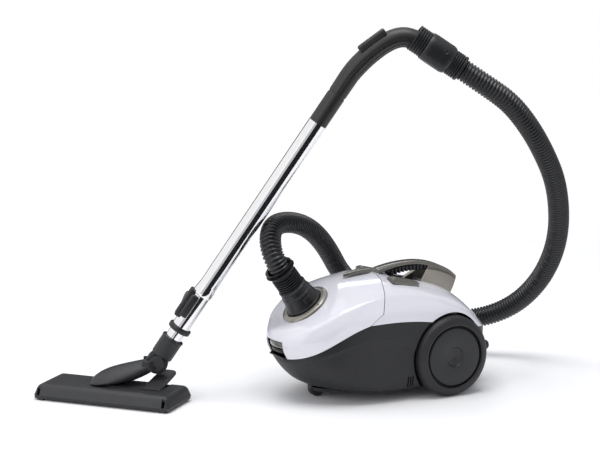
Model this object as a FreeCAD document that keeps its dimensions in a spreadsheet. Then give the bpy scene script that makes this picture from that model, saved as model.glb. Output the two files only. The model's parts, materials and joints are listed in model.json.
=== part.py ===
"""Canister vacuum cleaner: wheeled body with a hinged lid, hose, telescopic wand and floor head.

Row frame: millimetres, +Z up, the body faces -X, the floor is z = 0 and the origin is the middle
of the floor area that the cleaner covers, hose left out. Each group of pieces is drawn in the
frame of its own: the canister (origin under the rear axle), the inlet, the wand and the head.
"""

import FreeCAD, Part
import math
import os

import Sketcher

Vector = FreeCAD.Vector
Rotation = FreeCAD.Rotation

SIZES = {
    # where the four groups stand
    "canister_x": 287, "canister_y": -66, "head_x": -279, "head_y": 85, "head_turn": -49.6,
    "turret_back": 15, "wand_heading": -28.4, "wand_elevation": 56.3, "elbow_reach": 77,
    "pivot_height": 69,
    # canister shell
    "shell_wall": 3, "shell_width": 240, "lid_gap": 0.6, "lid_edge": -100, "hinge_height": 227,
    "hinge_radius": 4, "recess_floor": 190, "recess_half": 30, "latch_half": 31,
    # wheels
    "wheel_radius": 76, "wheel_outer": 135, "tyre_width": 34, "disc_radius": 57, "axle_radius": 6,
    "axle_inner": 88, "well_gap": 4, "well_face": 94, "caster_x": -196, "caster_trail": 24,
    "caster_radius": 15, "caster_width": 14, "caster_disc": 37, "caster_stem": 4,
    # inlet, cuff and hose
    "inlet_x": -243, "inlet_z": 173.5, "inlet_tilt": 36.4, "ring_radius": 48, "port_radius": 23.8,
    "cuff_radius": 35, "cuff_top": 26.5, "cuff_height": 45, "sleeve_top": 96, "hose_radius": 20,
    "button_press": 2.5,
    # inside the body
    "motor_y": 34, "motor_z": 100, "motor_radius": 50, "motor_length": 92, "reel_x": -4,
    "reel_y": -56, "reel_z": 104, "reel_radius": 57, "reel_width": 50, "grille_half": 40,
    "grille_low": 44, "grille_high": 96, "outlet_y": -56, "outlet_z": 70, "outlet_bore": 4.5,
    # pedals on the deck
    "pedal_x": -66, "pedal_y": 58, "pedal_z": 214, "pedal_length": 58, "pedal_width": 26,
    "pedal_tilt": 14,
    # wand, lengths along the tube from the neck pivot
    "tube_radius": 17.5, "tube_wall": 0.9, "tube_foot": 80, "tube_head": 532.5,
    "inner_radius": 15.75, "inner_foot": 24, "inner_head": 480, "neck_radius": 20.5,
    "neck_top": 53.5, "collar_radius": 21.5, "lock_foot": 92, "lock_head": 152,
    "grip_radius": 17, "grip_wall": 3, "grip_groove": 594, "swivel_start": 78, "swivel_end": 157,
    "swivel_height": 757, "swivel_radius": 25.5,
    # floor head
    "head_length": 276, "head_depth": 107, "head_height": 29, "sole_low": 3, "sole_high": 9,
    "turret_radius": 30, "roller_radius": 7,
}

document = FreeCAD.newDocument("canister_vacuum")
sheet = document.addObject("Spreadsheet::Sheet", "Sizes")
for row, (alias, number) in enumerate(SIZES.items(), start=1):
    sheet.set(f"A{row}", alias)
    sheet.set(f"B{row}", str(number))
    sheet.setAlias(f"B{row}", alias)
document.recompute()


class Dim:
    """A size that carries its value together with the sheet expression that gives it."""

    def __init__(self, value, text=None):
        self.value = float(value)
        self.text = text or f"({self.value:.6g})"

    def __add__(self, other):
        other = dim(other)
        return Dim(self.value + other.value, f"({self.text} + {other.text})")

    def __sub__(self, other):
        other = dim(other)
        return Dim(self.value - other.value, f"({self.text} - {other.text})")

    def __mul__(self, other):
        other = dim(other)
        return Dim(self.value * other.value, f"({self.text} * {other.text})")

    def __truediv__(self, other):
        return self * (1 / other)

    def __neg__(self):
        return self * -1

    def __radd__(self, other):
        return dim(other) + self

    def __rsub__(self, other):
        return dim(other) - self

    def __rmul__(self, other):
        return self * other


def dim(value):
    return value if isinstance(value, Dim) else Dim(value)


def size(alias):
    return Dim(SIZES[alias], f"Sizes.{alias}")


def bind(item, name, value):
    """Set a size and tie it to the sheet."""
    value = dim(value)
    if not name.startswith(("Placement", "Constraints")):
        setattr(item, name, value.value)
    if "Sizes" in value.text:
        item.setExpression(name, value.text)


class Frame:
    """A place in the row frame: an origin bound to the sheet, and a rotation."""

    def __init__(self, x, y, z, rotation=None):
        self.origin = (dim(x), dim(y), dim(z))
        self.rotation = rotation or Rotation()

    def at(self, x, y, z, rotation=None):
        """Return a frame moved by x, y, z along this one's own axes."""
        shift = [dim(x), dim(y), dim(z)]
        axes = [self.rotation.multVec(axis) for axis in (Vector(1, 0, 0), Vector(0, 1, 0), Vector(0, 0, 1))]
        origin = list(self.origin)
        for index in range(3):
            for step, axis in zip(shift, axes):
                if abs(axis[index]) > 1e-9 and step.text != "(0)":
                    origin[index] = origin[index] + step * axis[index]
        return Frame(*origin, self.rotation.multiply(rotation or Rotation()))

    def put(self, item):
        item.Placement = FreeCAD.Placement(Vector(*[value.value for value in self.origin]), self.rotation)
        for letter, value in zip("xyz", self.origin):
            bind(item, f"Placement.Base.{letter}", value)
        return item


AXIS_X = Rotation(Vector(0, 1, 0), 90)
AXIS_Y = Rotation(Vector(1, 0, 0), -90)
AXIS_MINUS_Y = Rotation(Vector(1, 0, 0), 90)

ROW = Frame(0, 0, 0)
CANISTER = Frame(size("canister_x"), size("canister_y"), 0)
INLET = CANISTER.at(size("inlet_x"), 0, size("inlet_z"), Rotation(Vector(0, 1, 0), -SIZES["inlet_tilt"]))
HEAD = Frame(size("head_x"), size("head_y"), 0, Rotation(Vector(0, 0, 1), SIZES["head_turn"]))
TURRET = Frame(*HEAD.at(0, size("turret_back"), 0).origin, Rotation(Vector(0, 0, 1), SIZES["wand_heading"]))
WAND = TURRET.at(size("elbow_reach"), 0, size("pivot_height"),
                 Rotation(Vector(0, 1, 0), 90 - SIZES["wand_elevation"]))

# places in a group's own frame: the inlet in the canister's, the line of the bent grip in the
# wand's side plane (x, height) with the radius of each bend, and the air slider in the wand's
INLET_LOCAL = Frame(size("inlet_x"), 0, size("inlet_z"), Rotation(Vector(0, 1, 0), -SIZES["inlet_tilt"]))
GRIP_LINE = [
    ((0, SIZES["grip_groove"], 0), 0), ((0, 663.5, 0), 90), ((29.3, 745.4, 0), 58),
    ((76.9, SIZES["swivel_height"], 0), 36), ((99, SIZES["swivel_height"], 0), 0),
]
VALVE = Frame(14.6, 0, 704.5, Rotation(Vector(0, 1, 0), 19.7))

nodes = []


def node(item, label):
    """Make an object one of the pieces that are written out, with its own name."""
    item.Label = label
    nodes.append(item)
    return item


# ---------------------------------------------------------------- sketches and features

def tangent_path(corners, closed=False):
    """Straight runs joined by tangent arcs. Each corner is a point and the radius of its arc."""
    points = [Vector(*corner[0]) for corner in corners]
    radii = [corner[1] for corner in corners]
    count = len(points)
    edges = []
    cuts = []
    for index, point in enumerate(points):
        if radii[index] <= 0 or (not closed and index in (0, count - 1)):
            cuts.append((point, point, None))
            continue
        before = (points[index - 1] - point).normalize()
        after = (points[(index + 1) % count] - point).normalize()
        half_turn = (math.pi - before.getAngle(after)) / 2
        reach = radii[index] * math.tan(half_turn)
        start = point + before * reach
        end = point + after * reach
        toward = (before + after).normalize()
        middle = point + toward * (radii[index] / math.cos(half_turn) - radii[index])
        cuts.append((start, end, middle))
    for index, (start, end, middle) in enumerate(cuts):
        if middle is not None:
            edges.append(Part.Arc(start, middle, end))
        if index + 1 < count or closed:
            following = cuts[(index + 1) % count][0]
            if (following - end).Length > 1e-6:
                edges.append(Part.LineSegment(end, following))
    return edges


def number(value):
    return value.value if isinstance(value, Dim) else float(value)


def flat(corners):
    """Corners of a flat outline, (x, y) or (x, y, radius), as 3-D points with radii."""
    return [((number(c[0]), number(c[1]), 0), number(c[2]) if len(c) > 2 else 0) for c in corners]


def draw_polygon(sketch, corners):
    """A closed polygon with every corner tied to the sheet."""
    count = len(corners)
    points = [Vector(number(corner[0]), number(corner[1]), 0) for corner in corners]
    first = sketch.GeometryCount
    for index in range(count):
        sketch.addGeometry(Part.LineSegment(points[index], points[(index + 1) % count]), False)
    for index in range(count):
        sketch.addConstraint(Sketcher.Constraint("Coincident", first + index, 2, first + (index + 1) % count, 1))
    for index, corner in enumerate(corners):
        for kind, value, axis in (("DistanceX", corner[0], -2), ("DistanceY", corner[1], -1)):
            value = dim(value)
            if abs(value.value) < 1e-9:
                sketch.addConstraint(Sketcher.Constraint("PointOnObject", first + index, 1, axis))
                continue
            place = sketch.addConstraint(Sketcher.Constraint(kind, -1, 1, first + index, 1, value.value))
            bind(sketch, f"Constraints[{place}]", value)


def draw_circle(sketch, x, y, radius):
    """A circle with its centre and radius tied to the sheet."""
    x, y, radius = dim(x), dim(y), dim(radius)
    circle = sketch.addGeometry(Part.Circle(Vector(x.value, y.value, 0), Vector(0, 0, 1), radius.value), False)
    bind(sketch, f"Constraints[{sketch.addConstraint(Sketcher.Constraint('Radius', circle, radius.value))}]", radius)
    if abs(x.value) < 1e-9 and abs(y.value) < 1e-9:
        sketch.addConstraint(Sketcher.Constraint("Coincident", circle, 3, -1, 1))
        return
    for kind, value, axis in (("DistanceX", x, -2), ("DistanceY", y, -1)):
        if abs(value.value) < 1e-9:
            sketch.addConstraint(Sketcher.Constraint("PointOnObject", circle, 3, axis))
            continue
        place = sketch.addConstraint(Sketcher.Constraint(kind, -1, 1, circle, 3, value.value))
        bind(sketch, f"Constraints[{place}]", value)


def draw_rounded(sketch, corners):
    """A closed outline whose corners may be rounded."""
    for edge in tangent_path(flat(corners), closed=True):
        sketch.addGeometry(edge, False)


def origin_plane(body, role):
    return next(item for item in body.Origin.OriginFeatures if item.Role == role)


def new_body(name):
    return document.addObject("PartDesign::Body", name)


def sketch_on(body, role, offset=0, name="outline"):
    """A sketch on one of the body's own origin planes, moved along its normal."""
    sketch = body.newObject("Sketcher::SketchObject", name)
    sketch.AttachmentSupport = (origin_plane(body, role), [""])
    sketch.MapMode = "FlatFace"
    offset = dim(offset)
    sketch.AttachmentOffset = FreeCAD.Placement(Vector(0, 0, offset.value), Rotation())
    if "Sizes" in offset.text:
        sketch.setExpression("AttachmentOffset.Base.z", offset.text)
    return sketch


def turn(body, corners):
    """Add a solid of revolution about the body's Z axis from (radius, height) corners."""
    sketch = sketch_on(body, "XZ_Plane", name="section")
    draw_polygon(sketch, corners)
    feature = body.newObject("PartDesign::Revolution", "turned")
    feature.Profile = sketch
    feature.ReferenceAxis = (sketch, ["V_Axis"])
    feature.Angle = 360
    return feature


def pad(body, sketch, length, midplane=False, backwards=False):
    feature = body.newObject("PartDesign::Pad", "pad")
    feature.Profile = sketch
    feature.Midplane = midplane
    feature.Reversed = backwards
    bind(feature, "Length", length)
    return feature


def pocket(body, sketch, length, midplane=False, backwards=False):
    """Cut a sketch out of the body and make sure that it really cuts."""
    document.recompute()
    before = body.Shape.Volume
    feature = body.newObject("PartDesign::Pocket", "pocket")
    feature.Profile = sketch
    feature.Midplane = midplane
    feature.Reversed = backwards
    bind(feature, "Length", length)
    document.recompute()
    if body.Shape.Volume > before - 1e-3:
        raise RuntimeError(f"a pocket in {body.Name} cuts nothing")
    return feature


def box_pocket(body, role, offset, low, high, length, **how):
    """Cut a rectangular pocket, from its low and high corners on the plane."""
    sketch = sketch_on(body, role, offset, "pocket_outline")
    draw_polygon(sketch, [(low[0], low[1]), (high[0], low[1]), (high[0], high[1]), (low[0], high[1])])
    return pocket(body, sketch, length, **how)


def turned_piece(label, frame, corners):
    body = new_body(label)
    turn(body, corners)
    return node(frame.put(body), label)


def extruded(name, corners, role, length, offset=0, rounded=False):
    """A Part extrusion of a flat outline, half of the length on each side of its plane."""
    sketch = document.addObject("Sketcher::SketchObject", f"{name}_outline")
    turns = {"XY": Rotation(), "XZ": Rotation(Vector(1, 0, 0), 90), "YZ": Rotation(Vector(1, 1, 1), 120)}
    normals = {"XY": Vector(0, 0, 1), "XZ": Vector(0, -1, 0), "YZ": Vector(1, 0, 0)}
    sketch.Placement = FreeCAD.Placement(normals[role] * number(offset), turns[role])
    if rounded:
        draw_rounded(sketch, corners)
    else:
        draw_polygon(sketch, corners)
    solid = document.addObject("Part::Extrusion", name)
    solid.Base = sketch
    solid.DirMode = "Normal"
    solid.Solid = True
    solid.Symmetric = True
    bind(solid, "LengthFwd", length)
    return solid


def cylinder(name, radius, length, frame):
    """A cylinder from the frame's origin along its Z axis."""
    solid = document.addObject("Part::Cylinder", name)
    bind(solid, "Radius", radius)
    bind(solid, "Height", length)
    return frame.put(solid)


def block(name, low, high, frame=None):
    """A box from its low corner to its high corner."""
    solid = document.addObject("Part::Box", name)
    for prop, a, b in zip(("Length", "Width", "Height"), low, high):
        bind(solid, prop, dim(b) - a)
    return (frame or ROW).at(*low).put(solid)


def cut(name, base, tool):
    solid = document.addObject("Part::Cut", name)
    solid.Base = base
    solid.Tool = tool
    return solid


def fuse(name, *shapes):
    solid = document.addObject("Part::MultiFuse", name)
    solid.Shapes = list(shapes)
    return solid


def common(name, *shapes):
    solid = document.addObject("Part::MultiCommon", name)
    solid.Shapes = list(shapes)
    return solid


def copy_of(item):
    """A second object with the same shape, because each boolean owns its operands."""
    twin = document.addObject("Part::Feature", f"{item.Name}_copy")
    document.recompute()
    twin.Shape = item.Shape
    return twin


# ---------------------------------------------------------------- canister shell

def envelope(name, inset):
    """The body's outer form, or the same form moved inwards: side, top and front outlines crossed."""
    half = size("shell_width") / 2 - inset
    i = inset
    side = extruded(f"{name}_side", [
        (-232 + i, 23 + i), (-262 + i, 36 + i), (-291 + i, 62 + 0.5 * i), (-309 + i, 88, 30),
        (-312 + i, 120, 24), (-299 + i, 140 - 0.5 * i, 14), (-284 + 0.6 * i, 143.4 - 0.8 * i, 14),
        (-197 + 0.6 * i, 207.4 - 0.8 * i, 26), (-160, 222 - i, 30), (-120, 226 - i, 60),
        (-78, 222 - i, 60), (-20, 207 - i, 60), (45, 189 - i, 60), (74 - i, 168 - i, 26),
        (100 - i, 138 - i, 40), (116 - i, 106, 30), (117 - i, 60, 30), (108 - i, 30 + i, 14),
        (88 - i, 16 + i, 10), (-150, 16 + i), (-158, 23 + i),
    ], "XZ", 300, rounded=True)
    top = extruded(f"{name}_top", [
        (-314 + i, -24 + 0.5 * i, 16), (-284 + i, -44 + i, 50), (-212 + 0.5 * i, -112 + i, 60),
        (-150, -half, 120), (60, -half, 90), (118 - i, -80 + i, 34),
        (118 - i, 80 - i, 34), (60, half, 90), (-150, half, 120),
        (-212 + 0.5 * i, 112 - i, 60), (-284 + i, 44 - i, 50), (-314 + i, 24 - 0.5 * i, 16),
    ], "XY", 600, rounded=True)
    front = extruded(f"{name}_front", [
        (-96 + i, 15 + i, 20), (-half + 2, 60, 60), (-half, 120, 60), (-half + 8, 168, 50),
        (-92 + i, 206 - i, 40), (-48, 228 - i, 60), (48, 228 - i, 60), (92 - i, 206 - i, 40),
        (half - 8, 168, 50), (half, 120, 60), (half - 2, 60, 60), (96 - i, 15 + i, 20),
    ], "YZ", 800, rounded=True)
    return common(name, side, top, front)


WHEEL_HEIGHT = size("wheel_radius")


def wells(name, extra):
    """The two wheel wells, grown by the shell's wall where the inside is cut."""
    shapes = []
    for side, rotation in (("left", AXIS_MINUS_Y), ("right", AXIS_Y)):
        sign = -1 if side == "left" else 1
        start = ROW.at(0, (size("well_face") - extra) * sign, WHEEL_HEIGHT, rotation)
        shapes.append(cylinder(f"{name}_{side}", WHEEL_HEIGHT + size("well_gap") + extra, 90, start))
    return shapes


wall = size("shell_wall")
recess_half = size("recess_half")
CASTER_CUP = 40
CASTER_CUP_TOP = 33

outer_form = cut("outer_form", envelope("outer_envelope", 0), fuse(
    "outer_hollows", *wells("outer_well", 0),
    block("finger_recess", (-78, -recess_half, size("recess_floor")), (8, recess_half, 260)),
    cylinder("caster_cup", CASTER_CUP, CASTER_CUP_TOP - 5, ROW.at(size("caster_x"), 0, 5)),
))
inner_form = cut("inner_form", envelope("inner_envelope", 3), fuse(
    "inner_hollows", *wells("inner_well", wall),
    block("finger_recess_wall", (-81, -recess_half - wall, size("recess_floor") - wall),
          (11, recess_half + wall, 260)),
    cylinder("caster_cup_wall", CASTER_CUP + wall, CASTER_CUP_TOP + wall - 5,
             ROW.at(size("caster_x"), 0, 5)),
))
hull = cut("hull", outer_form, inner_form)

PARTING = [
    (-330, 80), (-292, 84), (-274, 90), (-250, 106), (-217, 132), (-190, 146), (-165, 152),
    (-91, 151), (-28, 142), (60, 122), (140, 106),
]
half_gap = size("lid_gap") / 2
below = extruded("below_parting", PARTING + [(140, -20), (-330, -20)], "XZ", 400)
above = extruded("above_parting", PARTING + [(140, 300), (-330, 300)], "XZ", 400)
lid_plan = [
    (-340, -150), (-139, -150), (-139, -106), (-100, -62), (-100, 62), (-139, 106), (-139, 150),
    (-340, 150),
]


def lid_zone(name, gap):
    """The part of the upper form that belongs to the lid, shrunk by a gap or not."""
    plan = extruded(f"{name}_plan", [(x - (gap if x > -300 else 0), y) for x, y in lid_plan], "XY", 700)
    side = extruded(f"{name}_side", [
        (-340, 300), (-60, 300), (-60, 172 + gap), (-139 - gap, 172 + gap), (-166 - gap, 146),
        (-340, 146)], "XZ", 400)
    parting = [(x, z + 2 * gap) for x, z in PARTING]
    upper = extruded(f"{name}_upper", parting + [(140, 300), (-330, 300)], "XZ", 400)
    return common(name, plan, fuse(f"{name}_either", side, extruded(
        f"{name}_nose", [(-340, 40), (-166 - gap, 40), (-166 - gap, 200), (-340, 200)], "XZ", 400)), upper)


def shell_pieces():
    """Lower chassis, white rear shell and white lid, all cut from one hull."""
    lower = common("chassis_wall", copy_of(hull), below)
    bosses = []
    for side, sign, rotation in (("left", -1, AXIS_MINUS_Y), ("right", 1, AXIS_Y)):
        start = ROW.at(0, (size("axle_inner") - 4) * sign, WHEEL_HEIGHT, rotation)
        bosses.append(cylinder(f"axle_boss_{side}", 14, size("well_face") - size("axle_inner") + 4, start))
    stem_boss = cylinder("stem_boss", 8, 24, ROW.at(size("caster_x"), 0, 23))
    bulkhead = common("bulkhead", copy_of(inner_form), extruded(
        "bulkhead_slab", [(-100, 0), (-96, 0), (-96, 150), (-100, 150)], "XZ", 400))
    solid = fuse("chassis_solid", lower, bulkhead, *bosses, stem_boss)
    holes = [block("filter_window", (-105, -52, 52), (-90, 52, 132))]
    for side, sign, rotation in (("left", -1, AXIS_MINUS_Y), ("right", 1, AXIS_Y)):
        start = ROW.at(0, size("axle_inner") * sign, WHEEL_HEIGHT, rotation)
        holes.append(cylinder(f"axle_hole_{side}", size("axle_radius"), 60, start))
    holes.append(cylinder("stem_hole", size("caster_stem") + 0.06, 22, ROW.at(size("caster_x"), 0, 20)))
    holes.append(block("grille_hole", (90, -size("grille_half"), size("grille_low")),
                       (130, size("grille_half"), size("grille_high"))))
    holes.append(cylinder("outlet_hole", size("outlet_bore") + 4.5, 30,
                          ROW.at(98, size("outlet_y"), size("outlet_z"), AXIS_X)))
    chassis = cut("lower_chassis", solid, fuse("chassis_holes", *holes))
    node(CANISTER.put(chassis), "lower_chassis")

    zone = lid_zone("rear_cut", 0)
    rear = cut("rear_wall", common("rear_upper", copy_of(hull), above), zone)
    partition = common("partition", copy_of(inner_form), extruded(
        "partition_slab", [(-99.7, 150), (-96.7, 150), (-96.7, 240), (-99.7, 240)], "XZ", 400))
    ears = []
    for name, low in (("a", 7.4), ("b", -12.4)):
        ears.append(cylinder(f"hinge_ear_{name}", size("hinge_radius"), 5,
                             ROW.at(size("lid_edge"), low, size("hinge_height"), AXIS_Y)))
        ears.append(block(f"hinge_web_{name}", (-99.7, low, 222), (-95, low + 5, 230)))
    openings = [
        cylinder("knuckle_clearance", size("hinge_radius") + 0.6, 14.4,
                 ROW.at(size("lid_edge"), -7.2, size("hinge_height"), AXIS_Y)),
        cylinder("hinge_bore", 1.6, 26, ROW.at(size("lid_edge"), -13, size("hinge_height"), AXIS_Y)),
    ]
    for name, sign in (("power", -1), ("rewind", 1)):
        frame = ROW.at(size("pedal_x"), size("pedal_y") * sign, size("pedal_z"),
                                  Rotation(Vector(0, 1, 0), SIZES["pedal_tilt"]))
        half_length = size("pedal_length") / 2 + 0.5
        half_width = size("pedal_width") / 2 + 0.5
        openings.append(block(f"{name}_pedal_hole", (-half_length, -half_width, -14),
                              (half_length, half_width, 20), frame))
    rear_shell = cut("rear_shell", fuse("rear_solid", rear, partition, *ears), fuse("rear_holes", *openings))
    node(CANISTER.put(rear_shell), "rear_shell")

    lid_wall = common("lid_wall", copy_of(hull), lid_zone("lid_cut", half_gap))
    knuckle = fuse(
        "lid_knuckle",
        cylinder("knuckle_barrel", size("hinge_radius"), 14, ROW.at(
            size("lid_edge"), -7, size("hinge_height"), AXIS_Y)),
        block("knuckle_web", (-112, -7, 223.2), (-100, 7, 228)))
    lid_holes = [
        cylinder("inlet_hole", 40, 60, ROW.at(
            size("inlet_x"), 0, size("inlet_z"), Rotation(Vector(0, 1, 0), -SIZES["inlet_tilt"])).at(0, 0, -30)),
        block("latch_hole", (-330, -size("latch_half"), 90), (-290, size("latch_half"), 117)),
        cylinder("knuckle_bore", 1.6, 20, ROW.at(size("lid_edge"), -10, size("hinge_height"), AXIS_Y)),
    ]
    for name, low in (("a", 7.1), ("b", -12.7)):
        lid_holes.append(cylinder(f"ear_clearance_{name}", size("hinge_radius") + 0.6, 5.6,
                                  ROW.at(size("lid_edge"), low, size("hinge_height"), AXIS_Y)))
    lid = cut("lid", fuse("lid_solid", lid_wall, knuckle), fuse("lid_holes", *lid_holes))
    return node(CANISTER.put(lid), "lid")


lid = shell_pieces()


# ---------------------------------------------------------------- pieces on the lid

def lid_pieces(lid):
    """Seal, inlet ring, ridge strip and latch: all of them lift with the lid."""
    band = [(x, z + 0.9) for x, z in PARTING]
    band += [(x, z + 4) for x, z in reversed(PARTING)]
    seal_zone = common("seal_zone", extruded("seal_band", band, "XZ", 400), lid_zone("seal_cut", half_gap))
    deep_form = cut("deep_form", envelope("deep_envelope", 6), fuse(
        "deep_wells", *wells("deep_well", 6)))
    seal = common("lid_seal", cut("seal_wall", envelope("seal_envelope", 3), deep_form), seal_zone)
    node(CANISTER.put(seal), "lid_seal")

    ring = size("ring_radius")
    port = size("port_radius")
    blank = new_body("ring_blank")
    turn(blank, [
        (port + 0.15, -38), (port + 2.6, -38), (port + 2.6, -6), (39.7, -6), (39.7, 0), (ring, 0),
        (ring, 3), (ring - 3, 5.5), (38, 6.2), (size("cuff_radius") + 1, 4), (port + 0.15, 4)])
    node(cut("inlet_ring", INLET.put(blank), copy_of(lid)), "inlet_ring")

    strip = extruded("ridge_strip_solid", [
        (-204, 196), (-204, 204), (-190, 216, 20), (-160, 226, 40), (-122, 229.5, 40), (-112, 229.3),
        (-112, 215)], "XZ", 17, rounded=True)
    strip = cut("ridge_strip", strip, envelope("strip_envelope", 0))
    node(CANISTER.put(strip), "ridge_strip")

    latch = common("latch_plate", envelope("latch_envelope", 1.2), block(
        "latch_block", (-320, 1 - size("latch_half"), 91.5), (-296, size("latch_half") - 1, 115.5)))
    hook = fuse("latch_hook", block("hook_arm", (-298.2, -9, 92), (-294, 9, 98)),
                block("hook_leg", (-296.5, -9, 79), (-294, 9, 98)))
    latch_button = fuse("latch_button", latch, hook)
    node(CANISTER.put(latch_button), "latch_button")


# ---------------------------------------------------------------- handle, pedals and inner pieces

def handle_pieces():
    """The carry handle: an arch over the finger recess, a ribbed grip under it and a rear foot."""
    arch_outline = [
        (-93, 214), (-93, 229), (-64, 235, 60), (-21, 238.5, 90), (22, 232.5, 40), (50, 221, 5),
        (46, 211, 4), (14, 219, 20), (-20, 225.5, 60), (-60, 222, 60), (-80, 218)]
    insert_outline = [(-66, 220), (-62, 230), (8, 230), (10, 217)]
    arch = extruded("arch_solid", arch_outline, "XZ", 26, rounded=True)
    insert_zone = extruded("insert_zone", insert_outline, "XZ", 18)
    insert_solid = extruded("insert_solid", insert_outline, "XZ", 18)
    arch_copy = extruded("arch_twin", arch_outline, "XZ", 26, rounded=True)
    insert = common("insert_blank", insert_solid, arch_copy)
    slots = [block(f"rib_gap_{k}", (-60 + 7 * k, -10, 214), (-57 + 7 * k, 10, 224.2)) for k in range(10)]
    node(CANISTER.put(cut("handle_insert", insert, fuse("rib_gaps", *slots))), "handle_insert")
    arch = cut("carry_handle", arch, fuse("arch_hollows", insert_zone, envelope("arch_envelope", 0)))
    node(CANISTER.put(arch), "carry_handle")
    foot = common(
        "foot_blank",
        extruded("foot_side", [(14, 219), (46, 210), (50, 221), (74, 206, 8), (78, 196, 10), (70, 160),
                               (30, 160), (11, 188)], "XZ", 90, rounded=True),
        extruded("foot_front", [(-38, 150), (-34, 185), (-15, 214), (-13, 240), (13, 240), (15, 214),
                                (34, 185), (38, 150)], "YZ", 400))
    node(CANISTER.put(cut("handle_foot", foot, envelope("foot_envelope", 0))), "handle_foot")

    for name, sign in (("power", -1), ("rewind", 1)):
        frame = CANISTER.at(size("pedal_x"), size("pedal_y") * sign, size("pedal_z"),
                            Rotation(Vector(0, 1, 0), SIZES["pedal_tilt"]))
        body = new_body(f"{name}_pedal")
        outline = sketch_on(body, "XY_Plane", -2)
        half_length = size("pedal_length") / 2
        half_width = size("pedal_width") / 2
        draw_polygon(outline, [(-half_length, -half_width), (half_length, -half_width),
                               (half_length, half_width), (-half_length, half_width)])
        plate = pad(body, outline, 10)
        document.recompute()
        top_edges = [f"Edge{k}" for k, edge in enumerate(plate.Shape.Edges, start=1)
                     if min(v.Z for v in edge.Vertexes) > 7.9]
        fillet = body.newObject("PartDesign::Fillet", "soft_edge")
        fillet.Base = (plate, top_edges)
        fillet.Radius = 2.5
        stem = sketch_on(body, "XY_Plane", -30, "stem_outline")
        draw_circle(stem, 0, 0, 4)
        pad(body, stem, 29)
        node(frame.put(body), f"{name}_pedal")


def inner_pieces():
    """What sits inside the body: dust bag, filters, motor, reel and switch board."""
    bag = extruded("bag_side", [
        (-278, 62, 12), (-257, 99, 16), (-196, 146, 16), (-126, 146, 16), (-126, 48, 16), (-262, 48, 16)],
        "XZ", 180, rounded=True)
    bag_top = extruded("bag_top", [
        (-290, -34, 20), (-214, -86, 30), (-120, -86, 20), (-120, 86, 20), (-214, 86, 30), (-290, 34, 20)],
        "XY", 400, rounded=True)
    node(CANISTER.put(common("dust_bag", bag, bag_top)), "dust_bag")

    plate = new_body("holder_plate")
    outline = sketch_on(plate, "XY_Plane", -42)
    draw_polygon(outline, [(-46, -46), (40, -46), (40, 46), (-46, 46)])
    pad(plate, outline, 3)
    hole = sketch_on(plate, "XY_Plane", -42, "hole_outline")
    draw_circle(hole, 0, 0, 30)
    pocket(plate, hole, 4, backwards=True)
    arms = []
    for side in (-1, 1):
        arms.append(block(f"holder_arm_{side + 1}", (-202, 46 * side - 3, 151), (-99.7, 46 * side + 3, 157)))
    holder = fuse("bag_holder_frame", INLET_LOCAL.put(plate), *arms)
    node(CANISTER.put(holder), "bag_holder")
    turned_piece("bag_collar", INLET, [(27.5, -39), (38, -39), (38, -36.5), (27.5, -36.5)])

    node(block("motor_filter", (-106, -52, 52), (-96, 52, 132), CANISTER), "motor_filter")

    motor = CANISTER.at(-90, size("motor_y"), size("motor_z"), AXIS_X)
    radius = size("motor_radius")
    length = size("motor_length")
    turned_piece("motor_housing", motor, [
        (26, 4), (radius, 4), (radius, length), (30, length), (30, length + 34), (8, length + 34),
        (8, length + 31), (27, length + 31), (27, length - 3), (radius - 3, length - 3),
        (radius - 3, 7), (26, 7)])
    turned_piece("motor_fan", motor, [
        (0, 6), (14, 6), (22, 10), (radius - 6, 14), (radius - 6, 26), (6, 30), (6, 40), (22, 40),
        (22, length + 20), (4, length + 20), (4, length + 33), (0, length + 33)])
    turned_piece("motor_seal", motor, [(30, -4), (radius, -4), (radius, 4), (30, 4)])

    reel = CANISTER.at(size("reel_x"), size("reel_y"), size("reel_z"), AXIS_Y)
    reel_radius = size("reel_radius")
    half_reel = size("reel_width") / 2
    turned_piece("cord_reel", reel, [
        (5.1, -half_reel), (reel_radius, -half_reel), (reel_radius, 3 - half_reel), (22, 3 - half_reel),
        (22, half_reel - 3), (reel_radius, half_reel - 3), (reel_radius, half_reel), (5.1, half_reel)])
    turned_piece("reel_spindle", reel, [
        (0, -half_reel - 10), (9, -half_reel - 10), (9, -half_reel - 1), (5, -half_reel - 1),
        (5, half_reel + 2), (0, half_reel + 2)])

    node(block("exhaust_filter", (84, -36, 50), (96, 36, 90), CANISTER), "exhaust_filter")
    grille_blank = common("grille_blank", copy_of(hull), block(
        "grille_zone", (90, -size("grille_half"), size("grille_low")),
        (130, size("grille_half"), size("grille_high"))))
    slots = [block(f"grille_slot_{k}", (90, -34, 49 + 6 * k), (130, 34, 52 + 6 * k)) for k in range(8)]
    node(CANISTER.put(cut("exhaust_grille", grille_blank, fuse("grille_slots", *slots))), "exhaust_grille")
    bore = size("outlet_bore")
    turned_piece("cord_outlet", CANISTER.at(98, size("outlet_y"), size("outlet_z"), AXIS_X), [
        (bore, 0), (bore + 4.5, 0), (bore + 4.5, 22), (bore + 3, 24), (bore, 24)])
    board = fuse("switch_board", block("board_plate", (-90, -76, 160), (-30, 76, 162)),
                 block("power_switch", (-76, -66, 162), (-56, -50, 174)))
    node(CANISTER.put(board), "switch_board")


# ---------------------------------------------------------------- wheels and caster

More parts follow.
